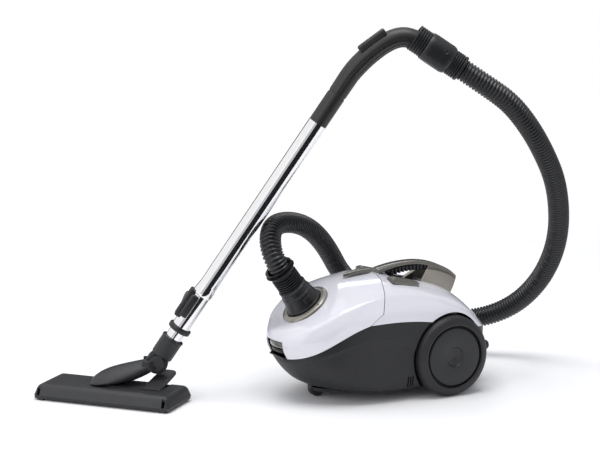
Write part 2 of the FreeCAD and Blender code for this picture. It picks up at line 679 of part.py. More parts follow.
def wheel_pieces():
    """Two big rear wheels on stub axles and the front caster."""
    outer = size("wheel_outer")
    inner = outer - size("tyre_width")
    radius = size("wheel_radius")
    disc = size("disc_radius")
    axle = size("axle_radius")
    stubs = []
    for side, sign, rotation in (("left", -1, AXIS_MINUS_Y), ("right", 1, AXIS_Y)):
        frame = CANISTER.at(0, 0, WHEEL_HEIGHT, rotation)
        turned_piece(f"tyre_{side}", frame, [
            (disc, inner), (radius - 4, inner), (radius, inner + 5), (radius, outer - 9),
            (radius - 2, outer - 5), (radius - 6, outer - 1), (disc + 4, outer), (disc, outer - 2)])
        turned_piece(f"wheel_{side}", frame, [
            (axle + 0.06, inner + 2), (14, inner + 2), (14, outer - 12), (disc - 3, outer - 12),
            (disc - 3, inner + 1), (disc, inner + 1), (disc, outer - 3), (disc - 3, outer - 2),
            (24, outer - 3), (14, outer - 6), (axle + 0.06, outer - 6)])
        stubs.append(cylinder(f"axle_stub_{side}", axle, outer - 6.4 - size("axle_inner"),
                              ROW.at(0, size("axle_inner") * sign, WHEEL_HEIGHT, rotation)))
    node(CANISTER.put(fuse("rear_axles", *stubs)), "rear_axles")

    swivel = CANISTER.at(size("caster_x"), 0, 0)
    trail = size("caster_trail")
    fork = new_body("caster_fork")
    turn(fork, [(0, 13), (size("caster_disc"), 13), (size("caster_disc"), 19), (10, 20), (10, 22.4),
                (size("caster_stem"), 22.4), (size("caster_stem"), 41), (0, 41)])
    box_pocket(fork, "XY_Plane", 21, (-trail - 15.8, -7.6), (-8.2, 7.6), 12)
    pin_hole = sketch_on(fork, "XZ_Plane", 0, "pin_outline")
    draw_circle(pin_hole, -trail, size("caster_radius"), 1.6)
    pocket(fork, pin_hole, 24, midplane=True)
    node(swivel.put(fork), "caster_fork")
    half_wheel = size("caster_width") / 2
    small = size("caster_radius")
    roll = swivel.at(-trail, 0, small, AXIS_Y)
    turned_piece("caster_wheel", roll, [
        (1.66, -half_wheel), (small - 1.5, -half_wheel), (small, 1.5 - half_wheel),
        (small, half_wheel - 1.5), (small - 1.5, half_wheel), (1.66, half_wheel)])
    turned_piece("caster_pin", roll, [(0, -12), (1.6, -12), (1.6, 12), (0, 12)])


# ---------------------------------------------------------------- cuff, hose and wand

# Points of the hose in the canister's frame, from the loop over the lid, along the far side of
# the body, round behind it and up to the grip. Its first and last two points lie on the axes of
# the sleeve and of the swivel.
HOSE_ROUTE = [
    (-309, 15, 290), (-294, 38, 315), (-265, 62, 320), (-226, 85, 315), (-186, 108, 301),
    (-145, 135, 276), (-103, 164, 237), (-63, 189, 185), (-12, 198, 138), (48, 190, 101),
    (112, 168, 78), (175, 135, 72), (229, 94, 84), (266, 52, 114), (285, 8, 162), (286, -34, 218),
    (273, -72, 277), (248, -105, 337), (215, -135, 394), (174, -157, 447), (130, -171, 500),
    (85, -172, 548),
]
SLEEVE_RUN = 57
SWIVEL_RUN = 57


def hose_pieces():
    """The turning cuff with its buttons and sleeve, and the hose from it to the grip."""
    radius = size("hose_radius")
    top = size("cuff_height")
    cuff = new_body("hose_cuff")
    turn(cuff, [
        (19, -34), (size("port_radius"), -34), (size("port_radius"), 4.6), (size("cuff_radius"), 4.6),
        (size("cuff_radius"), 10), (size("cuff_top") + 2, 32), (size("cuff_top"), top), (19, top)])
    box_pocket(cuff, "XZ_Plane", 0, (-8.3, 13.7), (8.3, 28.3), 90, midplane=True)
    node(INLET.put(cuff), "hose_cuff")
    for side, sign in (("left", -1), ("right", 1)):
        button = block(f"release_button_{side}", (-8, min(25 * sign, 34.5 * sign), 14),
                       (8, max(25 * sign, 34.5 * sign), 28), INLET)
        node(button, f"release_button_{side}")
    turned_piece("hose_sleeve", INLET, [
        (radius + 0.3, top), (24, top), (24, 80), (28, size("sleeve_top")), (24.5, size("sleeve_top")),
        (radius + 0.3, 74)])

    start = INLET.at(0, 0, top)
    finish = WAND.at(size("swivel_end"), 0, size("swivel_height"))
    ends = [place.at(*shift) for place, shift in (
        (start, (0, 0, 0)), (start, (0, 0, SLEEVE_RUN)), (finish, (SWIVEL_RUN, 0, 0)), (finish, (0, 0, 0)))]
    points = [tuple(number(value) for value in place.origin) for place in ends]
    middle = [tuple(number(value) for value in CANISTER.at(*point).origin) for point in HOSE_ROUTE]
    points = points[:2] + middle + points[2:]
    radii = [0]
    for before, point, after in zip(points, points[1:], points[2:]):
        first = Vector(*point) - Vector(*before)
        second = Vector(*after) - Vector(*point)
        radii.append(0.45 * min(first.Length, second.Length) / math.tan(first.getAngle(second) / 2))
    radii.append(0)
    print("hose radii", [round(value) for value in radii[1:-1]])
    path = document.addObject("Part::Feature", "hose_path")
    path.Shape = Part.Wire([edge.toShape() for edge in tangent_path(list(zip(points, radii)))])
    section = document.addObject("Part::Circle", "hose_section")
    bind(section, "Radius", radius)
    start.put(section)
    hose = document.addObject("Part::Sweep", "hose")
    hose.Sections = [section]
    hose.Spine = (path, [f"Edge{k + 1}" for k in range(len(path.Shape.Edges))])
    hose.Solid = True
    document.recompute()
    expected = math.pi * radius.value ** 2 * path.Shape.Length
    print("hose length", round(path.Shape.Length), "volume share", round(hose.Shape.Volume / expected, 4))
    print("hose points", [tuple(round(value, 1) for value in point) for point in points])
    node(hose, "hose")


def wand_pieces():
    """Neck, telescopic tubes with their lock, and the bent grip with the swivel at its end."""
    neck_radius = size("neck_radius")
    neck = new_body("wand_neck")
    turn(neck, [(13, 14), (neck_radius, 14), (neck_radius, size("neck_top")), (16, size("neck_top")),
                (16, size("inner_foot")), (13, size("inner_foot"))])
    knuckle = sketch_on(neck, "XZ_Plane", 0, "knuckle_outline")
    draw_circle(knuckle, 0, 0, neck_radius)
    pad(neck, knuckle, 28, midplane=True)
    passage = sketch_on(neck, "XY_Plane", 22, "passage_outline")
    draw_circle(passage, 0, 0, 11)
    pocket(neck, passage, 50)
    node(WAND.put(neck), "wand_neck")
    pins = [cylinder(f"neck_pin_{side + 1}", 5, 9, Frame(0, 12 * side, 0, AXIS_Y if side > 0 else AXIS_MINUS_Y))
            for side in (-1, 1)]
    node(WAND.put(fuse("neck_pins", *pins)), "neck_pins")

    tube = size("tube_radius")
    bore = tube - size("tube_wall")
    inner = size("inner_radius")
    turned_piece("inner_tube", WAND, [
        (inner - 0.8, size("inner_foot")), (inner, size("inner_foot")), (inner, size("inner_head")),
        (inner - 0.8, size("inner_head"))])
    turned_piece("outer_tube", WAND, [
        (bore, size("tube_foot")), (tube, size("tube_foot")), (tube, size("tube_head")),
        (bore, size("tube_head"))])
    turned_piece("tube_collar", WAND, [
        (inner + 0.08, 71), (tube + 2, 71), (size("collar_radius"), 73), (size("collar_radius"), 80),
        (bore, 80), (bore, 104), (inner + 0.08, 104)])

    saddle = cut("lock_saddle", common(
        "saddle_blank",
        cylinder("saddle_outer", tube + 3.2, size("lock_head") - size("lock_foot"),
                 Frame(0, 0, size("lock_foot"))),
        block("saddle_side", (-30, -30, 80), (5, 30, 160))),
        fuse("saddle_hollows",
             cylinder("saddle_inner", tube, 90, Frame(0, 0, 80)),
             block("lock_track", (-30, -8.3, 102), (-16, 8.3, 148))))
    node(WAND.put(saddle), "lock_saddle")
    slider = new_body("lock_slider")
    outline = sketch_on(slider, "XZ_Plane")
    draw_polygon(outline, [(-tube - 0.4, 104), (-tube - 4, 104), (-tube - 8.5, 132), (-tube - 9, 142),
                           (-tube - 0.4, 142)])
    pad(slider, outline, 16, midplane=True)
    node(WAND.put(slider), "lock_slider")

    grip = size("grip_radius")
    thin = grip - size("grip_wall")
    turned_piece("grip_tube", WAND, [
        (thin - 1, 505), (bore, 505), (bore, size("tube_head")), (grip, size("tube_head")),
        (grip, size("grip_groove")), (thin - 1, size("grip_groove"))])
    for half, low, high in (("upper", 90, 270), ("lower", -90, 90)):
        body = new_body(f"grip_{half}")
        section = sketch_on(body, "XY_Plane", size("grip_groove"), "section")
        a, b = math.radians(low), math.radians(high)
        for radius in (grip, thin):
            section.addGeometry(Part.ArcOfCircle(
                Part.Circle(Vector(), Vector(0, 0, 1), radius.value), a, b), False)
        for angle in (a, b):
            ray = Vector(math.cos(angle), math.sin(angle), 0)
            section.addGeometry(Part.LineSegment(ray * thin.value, ray * grip.value), False)
        spine = sketch_on(body, "XZ_Plane", 0, "spine")
        for edge in tangent_path(GRIP_LINE):
            spine.addGeometry(edge, False)
        pipe = body.newObject("PartDesign::AdditivePipe", "swept")
        pipe.Profile = section
        pipe.Spine = (spine, [f"Edge{k + 1}" for k in range(spine.GeometryCount)])
        node(WAND.put(body), f"grip_{half}")

    height = size("swivel_height")
    swivel = WAND.at(0, 0, height, AXIS_X)
    start = size("swivel_start")
    big = size("swivel_radius")
    end = size("swivel_end")
    turned_piece("hose_swivel", swivel, [
        (grip + 1.6, start), (big - 2, start), (big - 2, start + 19), (big, start + 21),
        (big, end - 20), (big - 2.5, end - 17), (big - 3.5, end), (14, end), (14, 101),
        (grip + 0.4, 101), (grip + 0.4, start + 9), (grip + 1.6, start + 6)])

    valve = cut("air_slider", common(
        "valve_blank",
        cylinder("valve_outer", grip + 6, 58, VALVE.at(0, 0, -29)),
        block("valve_zone", (-40, -11.5, -27), (-12, 11.5, 27), VALVE)),
        cylinder("valve_inner", grip + 0.5, 70, VALVE.at(0, 0, -35)))
    node(WAND.put(valve), "air_slider")


# ---------------------------------------------------------------- floor head

def head_pieces():
    """Elbow, floor head with its cover, sole, brushes, rollers and rocker pedal."""
    reach = size("elbow_reach")
    pivot = size("pivot_height")
    leaf = extruded("leaf_side", [
        (-38, 29.6), (-34, 40, 8), (-4, 58, 40), (36, 68, 40), (62, 72), (62, 52), (40, 38, 10), (30, 29.6)],
        "XZ", 52, rounded=True)
    leaf_plan = extruded("leaf_top", [
        (-39, -14, 12), (-20, -27, 16), (20, -27, 30), (72, -21), (72, 21), (20, 27, 30),
        (-20, 27, 16), (-39, 14, 12)], "XY", 400, rounded=True)
    cheeks = []
    for side, low in (("left", -21), ("right", 14.4)):
        cheeks.append(cylinder(f"cheek_disc_{side}", 13, 6.6, Frame(reach, low, pivot, AXIS_Y)))
        cheeks.append(block(f"cheek_arm_{side}", (50, low, 56), (reach, low + 6.6, 72)))
    plug = cylinder("turret_plug", size("turret_radius"), 15, Frame(0, 0, 15.4))
    flange = cylinder("turret_flange", size("turret_radius") + 4, 4.2, Frame(0, 0, 15.4))
    solid = fuse("elbow_solid", common("leaf", leaf, leaf_plan), *cheeks, plug, flange)
    hollows = fuse(
        "elbow_hollows",
        cylinder("knuckle_room", size("neck_radius") + 0.6, 28.8, Frame(reach, -14.4, pivot, AXIS_Y)),
        cylinder("pin_bore", 5.06, 60, Frame(reach, -30, pivot, AXIS_Y)),
        cylinder("turret_bore", 20, 31, Frame(0, 0, 15)),
        cylinder("duct_bore", 10, 56, Frame(10, 0, 44, Rotation(Vector(0, 1, 0), 72))))
    elbow = cut("elbow", solid, hollows)
    node(TURRET.put(elbow), "elbow")

    half_length = size("head_length") / 2
    half_depth = size("head_depth") / 2
    height = size("head_height")
    floor_level = size("sole_high")
    shell_side = extruded("cover_side", [
        (-half_depth, floor_level), (-half_depth, 19), (-half_depth + 2, height, 5),
        (half_depth - 6.5, height, 5), (half_depth, 16), (half_depth, floor_level)], "YZ", size("head_length"),
        rounded=True)
    shell_front = extruded("cover_front", [
        (-half_length, floor_level), (-half_length, 18), (-half_length + 6, height, 4),
        (half_length - 6, height, 4), (half_length, 18), (half_length, floor_level)], "XZ", 200, rounded=True)
    back = size("turret_back")
    cover = cut("head_cover", common("cover_form", shell_side, shell_front), fuse(
        "cover_hollows",
        block("cover_room", (-half_length + 9, -half_depth + 4, 0), (half_length - 9, half_depth - 9, 20)),
        cylinder("turret_hole", size("turret_radius") + 0.4, 20, Frame(0, back, 15)),
        cylinder("flange_room", size("turret_radius") + 4.4, 20, Frame(0, back, 0)),
        block("pedal_hole", (64.4, -14, 19), (100.6, 44, 40))))
    node(HEAD.put(cover), "head_cover")

    sole = new_body("head_sole")
    outline = sketch_on(sole, "XY_Plane", size("sole_low"))
    draw_polygon(outline, [(-half_length + 3, -half_depth + 3), (half_length - 3, -half_depth + 3),
                           (half_length - 3, half_depth - 3), (-half_length + 3, half_depth - 3)])
    pad(sole, outline, floor_level - size("sole_low"))
    box_pocket(sole, "XY_Plane", floor_level, (-118, -32), (118, -8), 8)
    for low in (-44, 8):
        box_pocket(sole, "XY_Plane", floor_level, (-126, low), (126, low + 8), 8)
    for side in (-1, 1):
        box_pocket(sole, "XY_Plane", floor_level, (104 * side - 8, 28), (104 * side + 8, 46), 8)
    for side in (-1, 1):
        skid = sketch_on(sole, "XY_Plane", 0, f"skid_outline_{side + 1}")
        draw_polygon(skid, [(124 * side - 6, -50.5), (124 * side + 6, -50.5), (124 * side + 6, -45),
                            (124 * side - 6, -45)])
        pad(sole, skid, size("sole_low"))
    node(HEAD.put(sole), "head_sole")
    strips = [block(f"brush_{low + 44}", (-125.5, low + 0.5, 0.6), (125.5, low + 7.5, 9)) for low in (-44, 8)]
    node(HEAD.put(fuse("brush_strips", *strips)), "brush_strips")
    pins = []
    for side, sign in (("left", -1), ("right", 1)):
        roll = HEAD.at(104 * sign, 37, size("roller_radius"), AXIS_X)
        turned_piece(f"head_roller_{side}", roll, [
            (1.56, -7), (size("roller_radius"), -7), (size("roller_radius"), 7), (1.56, 7)])
        pins.append(cylinder(f"roller_pin_{side}", 1.5, 18, Frame(
            104 * sign - 9, 37, size("roller_radius"), AXIS_X)))
    node(HEAD.put(fuse("roller_pins", *pins)), "roller_pins")
    pedal = new_body("head_pedal")
    outline = sketch_on(pedal, "YZ_Plane", 82.5)
    draw_polygon(outline, [(-12, 27.5), (-12, 32), (70, 47), (74, 44.5), (73, 42.5), (-4, 25)])
    pad(pedal, outline, 35, midplane=True)
    node(HEAD.put(pedal), "head_pedal")


lid_pieces(lid)
handle_pieces()
inner_pieces()
wheel_pieces()
hose_pieces()
wand_pieces()
head_pieces()
document.recompute()
broken = [item.Label for item in document.Objects if "Invalid" in item.State or "Error" in item.State]
for item in nodes:
    if item.Shape.isNull() or not item.Shape.isValid():
        broken.append(item.Label)
if broken:
    raise RuntimeError(f"these objects failed: {broken}")
if len({item.Label for item in nodes}) != len(nodes):
    raise RuntimeError("two pieces share a name")

os.makedirs("parts", exist_ok=True)
for item in nodes:
    item.Shape.exportStep(f"parts/{item.Label}.step")

still = [item.Shape.BoundBox for item in nodes if item.Label != "hose"]
print(len(nodes), "pieces; several solids:", [item.Label for item in nodes if len(item.Shape.Solids) != 1])
print("x", min(box.XMin for box in still), max(box.XMax for box in still),
      "y", min(box.YMin for box in still), max(box.YMax for box in still),
      "z", min(box.ZMin for box in still), max(box.ZMax for box in still))
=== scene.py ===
"""Canister vacuum cleaner with its hose, wand and floor head: the looks of every piece."""

import json
import math

import bmesh
import bpy
from mathutils import Matrix, Vector


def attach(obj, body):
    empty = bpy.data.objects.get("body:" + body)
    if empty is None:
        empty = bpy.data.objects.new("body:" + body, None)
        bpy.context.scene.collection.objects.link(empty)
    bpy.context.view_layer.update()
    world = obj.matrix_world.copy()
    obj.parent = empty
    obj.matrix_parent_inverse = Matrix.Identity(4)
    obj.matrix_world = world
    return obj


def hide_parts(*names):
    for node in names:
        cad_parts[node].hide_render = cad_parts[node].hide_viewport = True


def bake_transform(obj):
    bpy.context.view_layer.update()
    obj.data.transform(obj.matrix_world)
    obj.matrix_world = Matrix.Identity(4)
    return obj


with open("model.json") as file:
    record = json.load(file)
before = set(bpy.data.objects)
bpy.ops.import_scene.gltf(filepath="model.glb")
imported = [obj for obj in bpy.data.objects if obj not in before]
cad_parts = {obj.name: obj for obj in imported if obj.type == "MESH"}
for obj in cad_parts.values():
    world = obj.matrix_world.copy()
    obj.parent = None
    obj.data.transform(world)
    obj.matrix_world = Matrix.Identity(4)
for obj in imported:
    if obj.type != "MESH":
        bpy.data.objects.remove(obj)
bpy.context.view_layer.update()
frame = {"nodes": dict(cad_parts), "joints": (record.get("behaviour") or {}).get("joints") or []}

# ---------------------------------------------------------------- camera
# A long lens, low on the left of the canister.
MM = 0.001
camera_data = bpy.data.cameras.new("camera")
camera_data.lens = 111.96
camera_data.sensor_width = 36
camera_data.clip_end = 40
camera = bpy.data.objects.new("camera", camera_data)
bpy.context.scene.collection.objects.link(camera)
camera.location = (-1.5615, -3.0144, 0.9158)
sight = Vector((0.0778, 0.0177, 0.308)) - camera.location
camera.rotation_euler = sight.to_track_quat("-Z", "Y").to_euler()
bpy.context.scene.camera = camera


# ---------------------------------------------------------------- hose
# Blow-moulded corrugated polyethylene, 40 mm thick. It leaves the turning cuff on the lid, loops
# over the body, passes behind it and climbs to the swivel at the end of the grip.
HOSE_POINTS = [
    (.0173, -.066, .2097), (-.0165, -.066, .2556), (-.022, -.051, .290), (-.007, -.028, .315),
    (.022, -.004, .320), (.061, .019, .315), (.101, .042, .301), (.142, .069, .276),
    (.184, .098, .237), (.224, .123, .185), (.275, .132, .138), (.335, .124, .101),
    (.399, .102, .078), (.462, .069, .072), (.516, .028, .084), (.553, -.014, .114),
    (.572, -.058, .162), (.573, -.100, .218), (.560, -.138, .277), (.535, -.171, .337),
    (.502, -.201, .394), (.461, -.223, .447), (.417, -.237, .500), (.372, -.238, .548),
    (.3262, -.2264, .5801), (.2845, -.2038, .6117),
]
RIB_PITCH = 6.6 * MM
RIB_PROFILE = (20.0, 20.0, 19.3, 17.4, 17.2, 19.0)


class Socket:
    """One socket of a material. Arithmetic on it adds the nodes."""

    def __init__(self, tree, socket=None):
        self.tree = tree
        self.socket = socket

    def node(self, kind, settings=None, values=None, output=0):
        """Add a node: its settings first, then the values or links of its sockets."""
        item = self.tree.nodes.new(kind)
        for name, value in (settings or {}).items():
            if name == "stops":
                ramp = item.color_ramp
                while len(ramp.elements) < len(value):
                    ramp.elements.new(0.5)
                for element, (place, colour) in zip(ramp.elements, value):
                    element.position = place
                    element.color = (*colour, 1)
            else:
                setattr(item, name, value)
        for name, value in (values or {}).items():
            if isinstance(value, Socket):
                self.tree.links.new(value.socket, item.inputs[name])
            else:
                item.inputs[name].default_value = value
        return Socket(self.tree, item.outputs[output])

    def _math(self, operation, first, second):
        return self.node("ShaderNodeMath", {"operation": operation}, {0: first, 1: second})

    def __add__(self, other):
        return self._math("ADD", self, other)

    def __radd__(self, other):
        return self._math("ADD", other, self)

    def __mul__(self, other):
        return self._math("MULTIPLY", self, other)


def finish(name, colour, roughness, spread=0.06, tint=0.08, mottle=30, grain=0.0, grain_scale=900,
           metallic=0.0, coat=0.0, scratches=0.0, stretch=(1, 1, 1)):
    """A moulded, lacquered or metal surface: mottled colour, uneven roughness and a fine grain."""
    material = bpy.data.materials.new(name)
    material.use_nodes = True
    tree = material.node_tree
    shader = tree.nodes["Principled BSDF"]
    shader.inputs["Metallic"].default_value = metallic
    shader.inputs["Coat Weight"].default_value = coat
    shader.inputs["Coat Roughness"].default_value = 0.06
    place = Socket(tree).node("ShaderNodeTexCoord", output="Object")
    place = place.node("ShaderNodeMapping", {}, {"Vector": place, "Scale": stretch})
    cloud = place.node("ShaderNodeTexNoise", {}, {"Vector": place, "Scale": mottle, "Detail": 4.0})
    dark = tuple(channel * (1 - tint) for channel in colour)
    light = tuple(min(1, channel * (1 + tint)) for channel in colour)
    stops = [(0.3, dark), (0.7, light)]
    shade = cloud.node("ShaderNodeValToRGB", {"stops": stops}, {"Fac": cloud}, "Color")
    tree.links.new(shade.socket, shader.inputs["Base Color"])
    smudge = place.node("ShaderNodeTexNoise", {}, {"Vector": place, "Scale": mottle * 2.3, "Detail": 3.0})
    uneven = roughness - spread + smudge * (2 * spread)
    if scratches:
        lines = place.node("ShaderNodeTexNoise", {}, {"Vector": place, "Scale": 420.0, "Detail": 2.0})
        uneven = uneven + lines * scratches
    tree.links.new(uneven.socket, shader.inputs["Roughness"])
    if grain:
        pores = place.node("ShaderNodeTexNoise", {}, {"Vector": place, "Scale": grain_scale, "Detail": 2.0})
        relief = place.node("ShaderNodeBump", {}, {"Height": pores, "Strength": grain, "Distance": 0.0004})
        tree.links.new(relief.socket, shader.inputs["Normal"])
    return material


def smooth_line(points, resolution=24):
    """The points that a NURBS spline through these control points gives."""
    curve = bpy.data.curves.new("line", "CURVE")
    curve.dimensions = "3D"
    curve.resolution_u = resolution
    spline = curve.splines.new("NURBS")
    spline.points.add(len(points) - 1)
    for control, point in zip(spline.points, points):
        control.co = (*point, 1)
    spline.order_u = 3
    spline.use_endpoint_u = True
    guide = bpy.data.objects.new("line", curve)
    bpy.context.scene.collection.objects.link(guide)
    bpy.context.view_layer.update()
    line = [vertex.co.copy() for vertex in bpy.data.meshes.new_from_object(guide).vertices]
    bpy.data.objects.remove(guide)
    return line


def even_steps(line, step):
    """Points at even steps along a line."""
    lengths = [0.0]
    for first, second in zip(line, line[1:]):
        lengths.append(lengths[-1] + (second - first).length)
    count = max(2, round(lengths[-1] / step))
    points = []
    index = 0
    for k in range(count + 1):
        reach = lengths[-1] * k / count
        while index < len(lengths) - 2 and lengths[index + 1] < reach:
            index += 1
        part = (reach - lengths[index]) / max(1e-9, lengths[index + 1] - lengths[index])
        points.append(line[index].lerp(line[index + 1], min(1, part)))
    return points


def new_piece(name, bm):
    """Turn an edited mesh into a piece."""
    mesh = bpy.data.meshes.new(name)
    bm.to_mesh(mesh)
    bm.free()
    piece = bpy.data.objects.new(name, mesh)
    bpy.context.scene.collection.objects.link(piece)
    return piece


def only(piece):
    """Select one piece and nothing else."""
    if bpy.context.object and bpy.context.object.mode != "OBJECT":
        bpy.ops.object.mode_set(mode="OBJECT")
    bpy.ops.object.select_all(action="DESELECT")
    piece.select_set(True)
    bpy.context.view_layer.objects.active = piece


def soften(piece, angle=35):
    """Smooth shading up to an angle."""
    only(piece)
    bpy.ops.object.shade_smooth_by_angle(angle=math.radians(angle))


def tube_along(name, points, radius_at, sides=36, side=Vector((0, 0, 1))):
    """A closed tube through points. radius_at gives the radius for a step and an angle."""
    bm = bmesh.new()
    rings = []
    ahead = (points[1] - points[0]).normalized()
    across = side - ahead * side.dot(ahead)
    if abs(side.dot(ahead)) > 0.9:
        across = ahead.orthogonal()
    across.normalize()
    for k, point in enumerate(points):
        following = (points[min(k + 1, len(points) - 1)] - points[max(k - 1, 0)]).normalized()
        across = (across - following * across.dot(following)).normalized()
        up = following.cross(across)
        ring = []
        for j in range(sides):
            angle = 2 * math.pi * j / sides
            reach = radius_at(k, angle)
            ring.append(bm.verts.new(point + (across * math.cos(angle) + up * math.sin(angle)) * reach))
        rings.append(ring)
    for first, second in zip(rings, rings[1:]):
        for j in range(sides):
            bm.faces.new((first[j], first[(j + 1) % sides], second[(j + 1) % sides], second[j]))
    bm.faces.new(rings[0][::-1])
    bm.faces.new(rings[-1])
    bmesh.ops.recalc_face_normals(bm, faces=bm.faces)
    return new_piece(name, bm)


hose_line = even_steps(smooth_line(HOSE_POINTS), RIB_PITCH / len(RIB_PROFILE))
hose = tube_along("hose_corrugated", hose_line,
                  lambda k, angle: RIB_PROFILE[k % len(RIB_PROFILE)] * MM)
soften(hose, 50)
hose_black = finish("hose_black", (.010, .0105, .012), .33, spread=.05, grain=.12, grain_scale=700)
hose.data.materials.append(hose_black)
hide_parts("hose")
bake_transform(hose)

# ---------------------------------------------------------------- canister shell
# Three injection-moulded walls drawn from one form: the charcoal base, the gloss white rear top
# and the gloss white lid, with a shadow gap of about a millimetre between them.
joints = {joint["name"]: joint for joint in frame["joints"]}
rear_axis = Vector(joints["left_wheel_spin"]["pos_m"])
CANISTER = Matrix.Translation((rear_axis.x, rear_axis.y + .118, 0))
# Each row runs from the nose to the tail on the near side, as (x, y, z) in mm from the rear axle.
SHELL_ROWS = [
    # underside, middle
    [(-206, 0, 21), (-204, 0, 20), (-198, 0, 19), (-188, 0, 18), (-176, 0, 17), (-160, 0, 16),
     (-142, 0, 16), (-140.8, 0, 16), (-104, 0, 16), (-48, 0, 16), (8, 0, 16), (36, 0, 16), (50, 0, 16),
     (58, 0, 16), (62, 0, 16)],
    # underside, edge
    [(-238, 0, 24), (-236, -18, 23), (-228, -34, 22), (-210, -52, 21), (-190, -66, 19), (-168, -76, 17),
     (-146, -82, 16), (-144.8, -82, 16), (-104, -84, 16), (-48, -84, 16), (8, -84, 16), (50, -74, 16),
     (78, -52, 16), (88, -26, 16), (92, 0, 17)],
    # lower edge of the side
    [(-266, 0, 36), (-263, -25, 36), (-252, -48, 35), (-231, -73, 33), (-205, -94, 29),
     (-180, -106, 25), (-152, -112, 20), (-150.8, -112, 20), (-106, -114, 18), (-50, -114, 18),
     (8, -113, 18), (56, -103, 19), (92, -75, 20), (107, -37, 23), (111, 0, 25)],
    # side
    [(-290, 0, 62), (-287, -26, 62), (-275, -53, 62), (-251, -80, 60), (-221, -100, 58),
     (-192, -111, 56), (-162, -116.5, 54), (-160.8, -116.5, 54), (-110, -118.5, 52), (-52, -118.5, 52),
     (8, -117.5, 52), (60, -109, 52), (98, -81, 52), (115, -41, 52), (119, 0, 52)],
    # foot of the step on the side
    [(-298, 0, 74), (-295, -27, 74.5), (-283, -54.5, 77), (-259, -82, 87), (-228, -102, 103),
     (-198, -113, 114), (-168, -118, 119.5), (-166.8, -118, 119.5), (-124, -119, 112), (-78, -119, 90),
     (8, -118.6, 74), (60, -110, 72), (98, -82.5, 72), (116, -41.8, 72), (119.5, 0, 72)],
    # top of the step
    [(-300, 0, 77), (-297, -27.4, 77.5), (-285, -56, 80.5), (-260.5, -84, 90.5), (-229, -104.4, 106.5),
     (-198.5, -115.6, 117.5), (-168, -120.6, 123), (-166.8, -120.6, 123), (-123, -121.4, 115.5),
     (-77, -121.4, 94), (8, -120.5, 78), (60, -112, 76), (98, -84, 76), (116, -42.4, 76), (120, 0, 76)],
    # upper edge of the base
    [(-299.6, 0, 82.8), (-297, -27.4, 83.4), (-286.4, -56.4, 87.3), (-262, -84.5, 99.5),
     (-230, -105, 123), (-198.5, -116, 141.7), (-166, -120.4, 151.3), (-164.8, -120.4, 151.4),
     (-112, -121.2, 151.5), (-52, -121.2, 145.4), (8, -120.3, 133.6), (60, -112.2, 121.5),
     (98, -84.2, 113), (116, -42.4, 109), (120, 0, 108)],
    # lower edge of the white walls
    [(-302.5, 0, 83.6), (-300, -27.6, 84.1), (-288, -56.8, 88.3), (-262.5, -85, 100.8),
     (-230.5, -105.3, 124.3), (-200, -116.2, 142.4), (-175, -120.3, 151), (-173.6, -120.3, 151.2),
     (-112, -121.4, 152.8), (-52, -121.4, 146.7), (8, -120.5, 134.9), (60, -112.4, 122.8),
     (98, -84.4, 114.3), (116, -42.5, 110.3), (120, 0, 109.3)],
    # belly of the white side
    [(-317, 0, 106), (-313, -29, 107), (-298, -60, 112), (-271, -88, 127), (-238, -108, 148),
     (-200, -118, 160), (-147, -119.4, 170), (-145.6, -119.4, 170), (-106, -121, 172),
     (-52, -120.6, 170), (6, -118.5, 161), (54, -107, 147), (82, -78, 138), (95, -40, 134),
     (99, 0, 133)],
    # shoulder
    [(-311, 0, 134), (-306, -31, 135), (-291, -60, 140), (-267, -86, 152), (-236, -101, 171),
     (-196, -107, 188), (-137.5, -107, 199), (-136.3, -107, 199), (-106, -106, 199), (-52, -103, 192),
     (4, -99, 182), (42, -86, 170), (64, -62, 161), (75, -32, 157), (78, 0, 156)],
    # deck
    [(-284, 0, 144), (-280, -27, 147), (-268, -50, 156), (-246, -64, 173), (-219, -69, 191),
     (-184, -70, 208), (-119, -68, 218), (-117.8, -68, 218), (-98, -68, 215.4), (-52, -66, 208),
     (2, -62, 197), (32, -52, 186), (48, -36, 178), (57, -20, 175), (61, 0, 174)],
    # ridge
    [(-243, 0, 173), (-236, 0, 178), (-228, 0, 184), (-216, 0, 193), (-196, 0, 208), (-160, 0, 222),
     (-97, 0, 226), (-95.8, 0, 226), (-80, 0, 222), (-45, 0, 214), (-5, 0, 204), (20, 0, 197),
     (34, 0, 192), (44, 0, 189), (50, 0, 187)],
]
BASE_TOP, WHITE_FOOT, LID_END = 6, 7, 6
SHARP_ROWS = {4: .55, 5: .8, BASE_TOP: 1, WHITE_FOOT: 1, 8: .2, 9: .45}
BASE, GAP, REAR, LID = range(4)


def modify(piece, kind, **settings):
    """Add a modifier, set it and apply it."""
    only(piece)
    modifier = piece.modifiers.new(kind.lower(), kind)
    for name, value in settings.items():
        setattr(modifier, name, value)
    bpy.ops.object.modifier_apply(modifier=modifier.name)
    return piece


